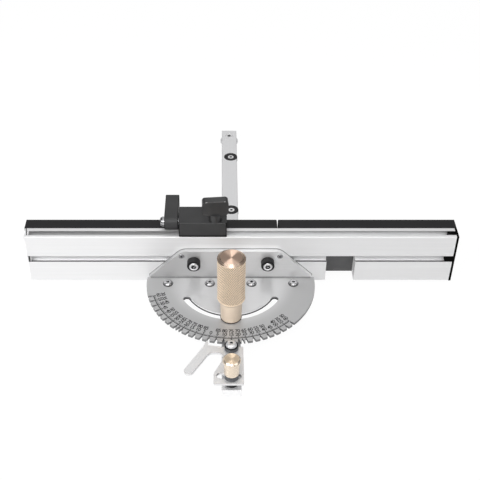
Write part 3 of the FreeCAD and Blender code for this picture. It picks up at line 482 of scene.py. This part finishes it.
# The scale is engraved in the plate and filled with dark paint: a line along the rim, a tick at every
# degree, a longer one at every fifth, and two rows of numbers that count away from the index notch.
SCALE_FIRST, SCALE_LAST, INDEX = -75, 45, -15
LINE_RADIUS, TICK_INNER, LONG_TICK_INNER = 83.4 * MM, 81.4 * MM, 80.4 * MM
TICK_WIDTH, LINE_WIDTH, PAINT = 0.45 * MM, 0.75 * MM, 0.06 * MM
OUTER_NUMBERS, INNER_NUMBERS, NUMBER_SIZE = 78.2 * MM, 73.4 * MM, 6.0 * MM
scale_degrees = SCALE_LAST - SCALE_FIRST
scale_start, scale_sweep = math.radians(SCALE_FIRST), math.radians(scale_degrees)
paint, tree, paint_shader = new_material("engraving_paint")
paint_shader.inputs["Roughness"].default_value = 0.6
paint_shader.inputs["Specular IOR Level"].default_value = 0.2
paint_grain = noise(tree, tree.nodes.new("ShaderNodeTexCoord").outputs["Object"], 900.0)
paint_ramp = tree.nodes.new("ShaderNodeValToRGB")
paint_ramp.color_ramp.elements[0].color = (0.012, 0.012, 0.013, 1)
paint_ramp.color_ramp.elements[1].color = (0.035, 0.035, 0.037, 1)
tree.links.new(paint_grain.outputs["Fac"], paint_ramp.inputs["Fac"])
tree.links.new(paint_ramp.outputs["Color"], paint_shader.inputs["Base Color"])


def on_plate(radius, angle):
    """Point on the plate's face; the angle is from the front, towards the right."""
    turn = math.radians(angle)
    return Vector((radius * math.sin(turn), -radius * math.cos(turn), plate_top))


def tick_row(name, inner, width, step):
    """One thin painted groove at the scale's first degree, repeated along the rim."""
    middle = on_plate((inner + LINE_RADIUS) / 2, SCALE_FIRST)
    row = block(name, middle, (width, LINE_RADIUS - inner, PAINT), scale_start)
    bpy.ops.object.mode_set(mode="EDIT")
    bpy.ops.mesh.select_all(action="SELECT")
    bpy.ops.mesh.spin(steps=scale_degrees // step, dupli=True, angle=-scale_sweep,
                      center=(0, 0, plate_top), axis=UP)
    bpy.ops.object.mode_set(mode="OBJECT")
    row.select_set(False)
    return row


ticks = tick_row("scale_ticks", TICK_INNER, TICK_WIDTH, 1)
long_ticks = tick_row("scale_long_ticks", LONG_TICK_INNER, LINE_WIDTH, 5)
line_place = on_plate(LINE_RADIUS, SCALE_FIRST)
rim_line = block("scale_rim_line", line_place, (SLICE, LINE_WIDTH, PAINT), scale_start)
pick_end(rim_line, Vector((math.cos(scale_start), math.sin(scale_start), 0)))
bpy.ops.mesh.spin(steps=scale_degrees, angle=-scale_sweep, center=(0, 0, plate_top), axis=UP)
bpy.ops.mesh.select_all(action="SELECT")
bpy.ops.mesh.remove_doubles(threshold=WELD)
turn_outward()
rim_line.select_set(False)
for mark in (ticks, long_ticks, rim_line):
    mark.data.materials.append(paint)
    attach(mark, "head")


def engraved_number(value, radius, angle):
    """One number, its feet towards the rim."""
    bpy.ops.object.text_add(location=on_plate(radius, angle), rotation=(0, 0, math.radians(angle)))
    text = bpy.context.object
    text.data.body = str(value)
    text.data.size = NUMBER_SIZE
    text.data.space_character = 0.85
    text.data.align_x = "CENTER"
    text.data.align_y = "CENTER"
    text.data.extrude = PAINT / 2
    text.data.offset = 0.1 * MM
    text.data.resolution_u = 3
    bpy.ops.object.convert(target="MESH")
    number = bpy.context.object
    number.select_set(False)
    return number


def joined(pieces, name):
    """Several pieces made into one."""
    for piece in pieces:
        piece.select_set(True)
    bpy.context.view_layer.objects.active = pieces[0]
    bpy.ops.object.join()
    return settled(name)


numbers = []
for angle in range(SCALE_FIRST, SCALE_LAST + 1, 5):
    away = abs(angle - INDEX)
    numbers.append(engraved_number(away, OUTER_NUMBERS, angle))
    if away not in (0, 45):
        numbers.append(engraved_number(90 - away, INNER_NUMBERS, angle))
scale_numbers = joined(numbers, "scale_numbers")
scale_numbers.data.materials.clear()
scale_numbers.data.materials.append(paint)
scale_numbers.select_set(False)
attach(scale_numbers, "head")

# The fence is extruded aluminium, bead-blasted lightly and clear anodised, with die lines along its
# length.  The lips and the inside of its slots are painted darker as painted shade, the inside of the
# top slot more so towards the left.
LIP, BELOW_LIP, TOP_SLOT, LONG_FACE = 1.6 * MM, 5 * MM, 12 * MM, 40 * MM
ALONG_FENCE = (10.0, 700.0, 700.0)
fence_metal = metal("anodised_fence_aluminium", (0.90, 0.90, 0.905), 0.46, ALONG_FENCE, tone=0.04,
                    relief=0.03, metallic=0.55)
front_lip_shade = metal("slot_lip_painted_shade", (0.22, 0.22, 0.222), 0.5, ALONG_FENCE, tone=0.1)
top_lip_shade = metal("top_lip_painted_shade", (0.80, 0.80, 0.802), 0.5, ALONG_FENCE, tone=0.1)
slot_shade_metal = metal("slot_painted_shade_aluminium", (0.86, 0.86, 0.865), 0.5, ALONG_FENCE, metallic=0.55)
# Painted shade: the top slot's inside is toned darker towards the left.
darker_outside(slot_shade_metal, Vector((150 * MM, 0, 0)), 150 * MM, 215 * MM, 0.66)
fence = softened("fence_extrusion", "fence_extrusion_anodised", "fence", 0.2 * MM, fence_metal)
for material in (front_lip_shade, top_lip_shade, slot_shade_metal):
    fence.data.materials.append(material)
for face in fence.data.polygons:
    along = [fence.data.vertices[i].co.x for i in face.vertices]
    inward, height = face.center.y - fence_low.y, face.center.z
    on_front_lip = face.normal.z > 0.9 and inward < LIP and height < fence_high.z - BELOW_LIP
    on_top_lip = face.normal.y < -0.9 and inward > BELOW_LIP and height > fence_high.z - LIP
    between_walls = fence_low.y + 0.5 * MM < face.center.y < fence_high.y - 0.5 * MM
    in_top_slot = between_walls and fence_high.z - TOP_SLOT < height < fence_high.z - LIP
    if max(along) - min(along) < LONG_FACE:
        continue
    if in_top_slot:
        face.material_index = 3
    elif on_front_lip:
        face.material_index = 1
    elif on_top_lip:
        face.material_index = 2

# The facing boards are dense black fibre board, planed and sanded on the side that the work slides
# along, which is painted a lighter grey as a painted reflection of the white floor.  The end caps are
# moulded, the left one pale and the right one black.
board_skin = moulded("black_board", (0.010, 0.010, 0.011), 0.5, 1200.0, gloss=0.32)
board_face_reflection = moulded("board_face_painted_reflection", (0.13, 0.13, 0.132), 0.6, 1500.0, gloss=0.2)
for node, name in (("left_board", "left_board_planed"), ("right_board", "right_board_planed")):
    board = softened(node, name, "fence", 0.35 * MM, board_skin)
    dress_faces(board, board_face_reflection, lambda face: face.normal.y < -0.9 and face.area > 100 * MM * MM)
cap_skin = moulded("black_cap_plastic", (0.003, 0.003, 0.003), 0.6, 2000.0, gloss=0.03)
dress(["right_end_cap"], cap_skin)
pale_plastic = moulded("pale_cap_plastic", (0.86, 0.86, 0.865), 0.5, 2000.0)
pale_cap = softened("left_end_cap", "left_end_cap_moulded", "fence", 0.15 * MM, pale_plastic)

# Two black inlays mark the left cap: one runs slantwise over its top, one closes the front slot.  The
# cap's plug shows in that slot and carries the slot's painted shade.
INLAY, INLAY_DEPTH, INLAY_SLANT = 0.1 * MM, 2 * MM, math.radians(10)
TOP_INLAY, SLOT_INLAY, LEDGE = (1.3 * MM, 2.1 * MM), (1.8 * MM, 2.9 * MM), 3.5 * MM
SIDE_SLOT, SLOT_MOUTH = 30.0 * MM, 7.8 * MM
cap_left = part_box("left_end_cap")[0].x
slot_level = fence_low.z + SIDE_SLOT
slot_foot, slot_head = slot_level - SLOT_MOUTH / 2, slot_level + SLOT_MOUTH / 2


def on_plug(face):
    """Whether a face of the cap is the front of its plug in the side slot."""
    in_mouth = abs(face.center.z - slot_level) < SLOT_MOUTH / 2
    return face.normal.y < -0.9 and in_mouth and face.center.x > fence_low.x


dress_faces(pale_cap, slot_shade_metal, on_plug)
for name, low, high, slant in (
        ("left_cap_top_inlay", (cap_left + TOP_INLAY[0], fence_low.y + LEDGE, fence_high.z - INLAY_DEPTH),
         (cap_left + TOP_INLAY[1], fence_high.y, fence_high.z + INLAY), INLAY_SLANT),
        ("left_cap_slot_inlay", (cap_left + SLOT_INLAY[0], fence_low.y - INLAY, slot_foot),
         (cap_left + SLOT_INLAY[1], fence_low.y + INLAY_DEPTH, slot_head), 0.0)):
    low, high = Vector(low), Vector(high)
    inlay = block(name, (low + high) / 2, high - low, slant)
    round_over(0.04 * MM)
    inlay.data.materials.append(cap_skin)
    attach(inlay, "fence")
    inlay.select_set(False)


# The flip stop's block and arm are milled aluminium, anodised matte black; its wing knob is moulded.
# Their lower rims and rounded edges are painted deeper black as painted shade.
def black_rim(name, level):
    """Anodised black with painted shade that turns it deep black below one height."""
    material = moulded(name, (0.040, 0.040, 0.041), 0.48, 3000.0)
    tree = material.node_tree
    place = tree.nodes.new("ShaderNodeTexCoord")
    axes = tree.nodes.new("ShaderNodeSeparateXYZ")
    tree.links.new(place.outputs["Object"], axes.inputs["Vector"])
    shade(material, remap(tree, axes.outputs["Z"], (level, level + 0.2 * MM), (0.08, 1.0)))
    return material


SHADE_RIM, EDGE_BAND = 2.6 * MM, 0.45 * MM
block_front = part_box("stop_block")[0].y
front_heights = [v.co.z for v in nodes["stop_block"].data.vertices if v.co.y < block_front + 0.5 * MM]
# Painted shade along the lower rims of block and arm.
block_skin = black_rim("black_anodised_block_rim_shade", min(front_heights) + SHADE_RIM)
arm_skin = black_rim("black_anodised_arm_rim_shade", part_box("stop_arm")[0].z + SHADE_RIM / 2)
# Painted shade on the rounded edges of block and arm.
edge_shade_skin = moulded("stop_edges_painted_shade", (0.006, 0.006, 0.006), 0.5, 3000.0, gloss=0.1)
for milled in (softened("stop_block", "stop_block_milled", "stop", 0.8 * MM, block_skin),
               softened("stop_arm", "stop_arm_milled", "stop_arm", 0.6 * MM, arm_skin)):
    milled.data.materials.append(edge_shade_skin)
    corners = milled.data.vertices
    for face in milled.data.polygons:
        longest = max((corners[a].co - corners[b].co).length for a, b in face.edge_keys)
        if max(abs(part) for part in face.normal) < 0.97 and face.area < EDGE_BAND * longest:
            face.material_index = 1
knob_skin = moulded("black_knob_plastic", (0.035, 0.035, 0.036), 0.32, 2500.0, gloss=0.5)
dress(["stop_knob"], knob_skin)

# The wing's upper front edge carries a grey painted highlight, with a bright painted glint at each of
# its two corners.  The marks are thin strips that stand on the wing's front face, just under its top.
MARK_HEIGHT, MARK_THICKNESS, GLINT_LENGTH = 0.5 * MM, 0.1 * MM, 1.6 * MM
knob_mesh = nodes["stop_knob"].data
wing = max((face for face in knob_mesh.polygons if face.normal.y < -0.9), key=lambda face: face.area)
wing_points = [knob_mesh.vertices[i].co for i in wing.vertices]
wing_top = max(point.z for point in wing_points)
top_edge = sorted((point for point in wing_points if point.z > wing_top - 0.01 * MM), key=lambda p: p.x)
edge_left, edge_right = top_edge[0], top_edge[-1]
wing_turn = math.atan2(edge_right.y - edge_left.y, edge_right.x - edge_left.x)
edge_highlight = moulded("painted_edge_highlight", (0.15, 0.15, 0.15), 0.4, 2500.0)
corner_glint = moulded("painted_corner_glint", (0.85, 0.85, 0.85), 0.4, 2500.0)
highlight_marks = []
for share, length, skin in ((0.5, (edge_right - edge_left).length - 2 * MM, edge_highlight),
                            (0.03, GLINT_LENGTH, corner_glint), (0.97, GLINT_LENGTH, corner_glint)):
    spot = edge_left.lerp(edge_right, share)
    mark = block("highlight_mark", (spot.x, spot.y, spot.z - MARK_HEIGHT / 2), (length, MARK_THICKNESS, MARK_HEIGHT), wing_turn)
    mark.data.materials.append(skin)
    highlight_marks.append(mark)
knob_highlights = joined(highlight_marks, "knob_edge_highlights")
round_over(0.02 * MM)
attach(knob_highlights, "stop_knob")
knob_highlights.select_set(False)


# The clamp handle is turned from brass: a smooth tapering neck, a shoulder, and a grip with a diamond
# knurl rolled into it.  Its end is faced in the lathe, which leaves the fanned sheen.
def turned_brass(name, roughness, anisotropy, colour, metallic=1.0):
    """Turned brass; its tool marks run round the piece's own axis."""
    material = metal(name, colour, roughness, (60.0, 60.0, 1500.0), tone=0.05, relief=0.004,
                     anisotropy=anisotropy, metallic=metallic)
    tree = material.node_tree
    shader = tree.nodes["Principled BSDF"]
    round_axis = tree.nodes.new("ShaderNodeTangent")
    round_axis.direction_type = "RADIAL"
    round_axis.axis = "Z"
    tree.links.new(round_axis.outputs["Tangent"], shader.inputs["Tangent"])
    shader.inputs["Anisotropic Rotation"].default_value = 0.25
    return material


def turned(name, centre, profile, segments):
    """A closed turning: a circle raised through (radius, height) steps, as on a lathe drawing."""
    radius, height = profile[0]
    bpy.ops.mesh.primitive_circle_add(vertices=segments, radius=radius, fill_type="NGON",
                                      location=(centre.x, centre.y, height))
    piece = settled(name)
    bpy.ops.object.mode_set(mode="EDIT")
    bpy.ops.mesh.select_all(action="SELECT")
    for next_radius, next_height in profile[1:]:
        bpy.ops.mesh.extrude_region_move(TRANSFORM_OT_translate={"value": (0, 0, next_height - height)})
        share = next_radius / radius
        bpy.ops.transform.resize(value=(share, share, 1), center_override=(centre.x, centre.y, next_height))
        radius, height = next_radius, next_height
    turn_outward()
    return piece


handle_low, handle_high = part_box("clamp_handle")
handle_axis = (handle_low + handle_high) / 2
handle_base, handle_end = handle_low.z, handle_high.z
GRIP = (handle_high.x - handle_low.x) / 2
NECK_FOOT, NECK_TOP = 10.6 * MM, 11.3 * MM
NECK_HEIGHT, SHOULDER_HEIGHT = 22.8 * MM, 26.8 * MM
BEVEL_WIDTH, BEVEL_HEIGHT, FOOT_BEVEL = 3.1 * MM, 2.0 * MM, 0.5 * MM
DIAMONDS, KNURL_STEP, KNURL_DEPTH = 46, 1.1 * MM, 0.65 * MM
knurl_bottom = handle_base + SHOULDER_HEIGHT
knurl_top = handle_end - BEVEL_HEIGHT
knurl_rows = 2 * math.ceil(round((knurl_top - knurl_bottom) / KNURL_STEP) / 2)
knurl_rise = (knurl_top - knurl_bottom) / knurl_rows
face_radius = GRIP - BEVEL_WIDTH
profile = [(NECK_FOOT - FOOT_BEVEL, handle_base), (NECK_FOOT, handle_base + FOOT_BEVEL),
           (NECK_TOP, handle_base + NECK_HEIGHT - 0.2 * MM),
           (NECK_TOP + 0.3 * MM, handle_base + NECK_HEIGHT)]
profile += [(GRIP, knurl_bottom + knurl_rise * row) for row in range(knurl_rows + 1)]
profile += [(GRIP - 0.2 * MM, knurl_top + 0.1 * MM), (face_radius + 0.15 * MM, handle_end - 0.1 * MM),
            (face_radius, handle_end), (face_radius - 0.3 * MM, handle_end - 0.02 * MM),
            (0.4 * MM, handle_end - 0.35 * MM)]
clamp_handle = turned("clamp_handle_knurled", handle_axis, profile, 2 * DIAMONDS)

# The knurl is a field of small pyramids.  Every second point of the grip is pressed in, by turns from
# row to row, and each square between four points folds along its pressed-in corners.
bpy.ops.object.mode_set(mode="EDIT")
bpy.ops.mesh.select_mode(type="VERT")
knurl = bmesh.from_edit_mesh(clamp_handle.data)
for vertex in knurl.verts:
    row = (vertex.co.z - knurl_bottom) / knurl_rise
    column = math.atan2(vertex.co.y - handle_axis.y, vertex.co.x - handle_axis.x) / (math.pi / DIAMONDS)
    vertex.select_set(0.5 < row < knurl_rows - 0.5 and (round(row) + round(column)) % 2 == 1)
bmesh.update_edit_mesh(clamp_handle.data)
sunk = (GRIP - KNURL_DEPTH) / GRIP
bpy.ops.transform.resize(value=(sunk, sunk, 1), center_override=(handle_axis.x, handle_axis.y, 0))


def in_valley(vertex):
    """Whether a point of the knurl was pressed in."""
    return (vertex.co.xy - handle_axis.xy).length < GRIP - KNURL_DEPTH / 2


for split, from_valley in (("FIXED", True), ("FIXED_ALTERNATE", False)):
    bpy.ops.mesh.select_mode(type="FACE")
    knurl = bmesh.from_edit_mesh(clamp_handle.data)
    for face in knurl.faces:
        square = len(face.verts) == 4 and knurl_bottom < face.calc_center_median().z < knurl_top
        face.select_set(square and (in_valley(face.verts[0]) or in_valley(face.verts[2])) == from_valley)
    bmesh.update_edit_mesh(clamp_handle.data)
    bpy.ops.mesh.quads_convert_to_tris(quad_method=split)
bpy.ops.object.mode_set(mode="OBJECT")
bpy.ops.object.shade_smooth_by_angle(angle=math.radians(22))
neck_brass = turned_brass("turned_brass_neck", 0.34, 0.8, (1.0, 0.83, 0.66), 0.3)
knurled_brass = turned_brass("knurled_brass", 0.42, 0.0, (1.0, 0.82, 0.63), 0.3)
# Painted shade: the knurl's pressed-in valleys are toned darker.
darker_outside(knurled_brass, handle_axis, GRIP - 0.6 * KNURL_DEPTH, GRIP - KNURL_DEPTH, 0.08)
faced_brass = turned_brass("faced_brass", 0.60, 1.0, (0.96, 0.74, 0.60))
bevel_brass = turned_brass("turned_brass_bevel", 0.27, 0.8, (0.98, 0.76, 0.60))
for material in (neck_brass, knurled_brass, faced_brass, bevel_brass):
    clamp_handle.data.materials.append(material)
for face in clamp_handle.data.polygons:
    if knurl_bottom < face.center.z < knurl_top:
        face.material_index = 1
    elif face.normal.z > 0.9:
        face.material_index = 2
    elif face.center.z > knurl_top:
        face.material_index = 3
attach(clamp_handle, "handle")
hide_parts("clamp_handle")
clamp_handle.select_set(False)

# A dark brown ring of painted shadow lies under the handle's foot, between it and the plate's washer,
# and shows as a dark line round it.
bpy.ops.mesh.primitive_torus_add(location=(handle_axis.x, handle_axis.y, handle_base + 0.5 * MM),
                                 major_radius=NECK_FOOT, minor_radius=0.45 * MM, major_segments=64,
                                 minor_segments=10)
foot_shadow_ring = settled("handle_foot_shadow_ring")
foot_shadow_ring.data.materials.append(moulded("handle_foot_painted_shadow", (0.045, 0.028, 0.020), 0.6, 1500.0, gloss=0.2))
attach(foot_shadow_ring, "handle")
foot_shadow_ring.select_set(False)

# The lock knob is turned from the same brass bar and left smooth: a plain body under a wider cap with a
# bevelled rim, its end faced like the handle's.
knob_low, knob_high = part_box("lock_knob")
knob_axis = (knob_low + knob_high) / 2
knob_foot, knob_end = knob_low.z, knob_high.z
BODY, CAP = 7.3 * MM, (knob_high.x - knob_low.x) / 2
cap_foot = knob_end - 3.5 * MM
lock_knob = turned("lock_knob_turned", knob_axis, [
    (BODY - 0.5 * MM, knob_foot), (BODY - 0.1 * MM, knob_foot + 0.15 * MM), (BODY, knob_foot + 0.5 * MM),
    (BODY, cap_foot - 0.6 * MM), (BODY + 0.15 * MM, cap_foot - 0.4 * MM),
    (CAP - 0.2 * MM, cap_foot + 0.3 * MM), (CAP, cap_foot + 0.6 * MM),
    (CAP, knob_end - 1.7 * MM), (CAP - 0.12 * MM, knob_end - 1.45 * MM),
    (CAP - 1.45 * MM, knob_end - 0.12 * MM), (CAP - 1.65 * MM, knob_end),
    (CAP - 1.95 * MM, knob_end - 0.02 * MM), (0.4 * MM, knob_end - 0.3 * MM)], 96)
bpy.ops.object.shade_smooth_by_angle(angle=math.radians(25))
# The knob's body is painted a paler brass than the handle's, a painted light.
lock_knob.data.materials.append(turned_brass("turned_brass_knob", 0.25, 0.6, (1.0, 0.86, 0.70), 0.8))
faced_knob = turned_brass("faced_knob_brass", 0.38, 1.0, (1.0, 0.81, 0.60), 0.85)
dress_faces(lock_knob, faced_knob, lambda face: face.normal.z > 0.9)
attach(lock_knob, "lock_knob")
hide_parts("lock_knob")
lock_knob.select_set(False)

# The floor is a plain white sweep that keeps a faint shadow of the gauge; mirrored in the metal it gets
# dimmer towards the right.
bpy.ops.mesh.primitive_plane_add(size=12, location=(0, 0, -0.6 * MM))
floor = bpy.context.object
floor.name = "floor"
floor_paint = bpy.data.materials.new("white_floor")
floor_paint.use_nodes = True
tree = floor_paint.node_tree
tree.nodes.clear()
output = tree.nodes.new("ShaderNodeOutputMaterial")
seen = tree.nodes.new("ShaderNodeLightPath")
either = tree.nodes.new("ShaderNodeMath")
either.operation = "MAXIMUM"
tree.links.new(seen.outputs["Is Camera Ray"], either.inputs[0])
tree.links.new(seen.outputs["Is Glossy Ray"], either.inputs[1])
place = tree.nodes.new("ShaderNodeTexCoord")
across = tree.nodes.new("ShaderNodeSeparateXYZ")
tree.links.new(place.outputs["Object"], across.inputs["Vector"])
dim_right = remap(tree, across.outputs["X"], (-0.16, 0.14), (1.02, 0.66), "SMOOTHSTEP")
strength = tree.nodes.new("ShaderNodeMix")
tree.links.new(seen.outputs["Is Camera Ray"], strength.inputs["Factor"])
tree.links.new(dim_right, strength.inputs["A"])
strength.inputs["B"].default_value = 1.05
share = tree.nodes.new("ShaderNodeMath")
share.operation = "MULTIPLY"
share.inputs[1].default_value = 0.90
tree.links.new(either.outputs["Value"], share.inputs[0])
matte = tree.nodes.new("ShaderNodeBsdfDiffuse")
matte.inputs["Color"].default_value = (0.85, 0.85, 0.85, 1)
glow = tree.nodes.new("ShaderNodeEmission")
glow.inputs["Color"].default_value = (1, 1, 1, 1)
tree.links.new(strength.outputs["Result"], glow.inputs["Strength"])
mix = tree.nodes.new("ShaderNodeMixShader")
tree.links.new(share.outputs["Value"], mix.inputs["Fac"])
tree.links.new(matte.outputs["BSDF"], mix.inputs[1])
tree.links.new(glow.outputs["Emission"], mix.inputs[2])
tree.links.new(mix.outputs["Shader"], output.inputs["Surface"])
floor.data.materials.append(floor_paint)
floor.select_set(False)

# The studio is a white room: pure white to the camera, greyer at the sides and near the horizon for the
# metal to show, with broad lamps above on the left, in front and on the right, and a small one overhead.
world = bpy.context.scene.world or bpy.data.worlds.new("studio")
bpy.context.scene.world = world
world.use_nodes = True
tree = world.node_tree
tree.nodes.clear()
output = tree.nodes.new("ShaderNodeOutputWorld")
seen = tree.nodes.new("ShaderNodeLightPath")
direction = tree.nodes.new("ShaderNodeTexCoord")
axes = tree.nodes.new("ShaderNodeSeparateXYZ")
tree.links.new(direction.outputs["Generated"], axes.inputs["Vector"])
height = tree.nodes.new("ShaderNodeValToRGB")
stops = height.color_ramp.elements
stops[0].color = (0.9, 0.9, 0.9, 1)
stops[1].color = (0.9, 0.9, 0.9, 1)
for position, level in ((0.30, 0.80), (0.45, 0.56), (0.57, 0.72), (0.68, 0.98)):
    stop = stops.new(position)
    stop.color = (level, level, level, 1)
tree.links.new(axes.outputs["Z"], height.inputs["Fac"])
sideways = tree.nodes.new("ShaderNodeMath")
sideways.operation = "ABSOLUTE"
tree.links.new(axes.outputs["X"], sideways.inputs[0])
flanks = remap(tree, sideways.outputs["Value"], (0.13, 0.42), (1.0, 0.20), "SMOOTHSTEP")
room = tree.nodes.new("ShaderNodeBackground")
tree.links.new(height.outputs["Color"], room.inputs["Color"])
tree.links.new(flanks, room.inputs["Strength"])
white = tree.nodes.new("ShaderNodeBackground")
white.inputs["Color"].default_value = (1, 1, 1, 1)
mix = tree.nodes.new("ShaderNodeMixShader")
tree.links.new(seen.outputs["Is Camera Ray"], mix.inputs["Fac"])
tree.links.new(room.outputs["Background"], mix.inputs[1])
tree.links.new(white.outputs["Background"], mix.inputs[2])
tree.links.new(mix.outputs["Shader"], output.inputs["Surface"])

for name, location, aim, size, power in (
        ("main_lamp", (-0.8, -0.8, 0.9), (-0.1, 0, 0), 0.8, 9.0),
        ("side_lamp", (0.9, -0.6, 0.9), (0, 0, 0), 0.8, 3.0),
        ("front_lamp", (0.0, -1.3, 1.2), (0, 0, 0), 0.6, 6.0),
        ("top_lamp", (0.0, -0.35, 1.4), (0, -0.05, 0), 0.35, 1.0)):
    bpy.ops.object.light_add(type="AREA", location=location)
    lamp = bpy.context.object
    lamp.name = name
    lamp.data.size = size
    lamp.data.energy = power
    lamp.rotation_euler = (Vector(aim) - Vector(location)).to_track_quat("-Z", "Y").to_euler()
    lamp.select_set(False)

# The camera stands in front of the gauge and a little to its left, and looks down across it through a
# long lens.  The picture is shifted slightly sideways so that the gauge sits in its middle.
LOOKING_DOWN, PICTURE_SHIFT, PICTURE_WIDTH = math.radians(39.6), 17.5, 480
bpy.ops.object.camera_add(location=(-8.68 * MM, -735.0 * MM, 684.2 * MM),
                          rotation=(math.radians(90) - LOOKING_DOWN, 0, 0))
camera = bpy.context.object
camera.data.sensor_width = 36.0
camera.data.lens = 70.05
camera.data.shift_x = PICTURE_SHIFT / PICTURE_WIDTH
camera.data.clip_start = 0.01
camera.data.clip_end = 20.0
bpy.context.scene.camera = camera
bpy.context.scene.view_settings.view_transform = "Standard"
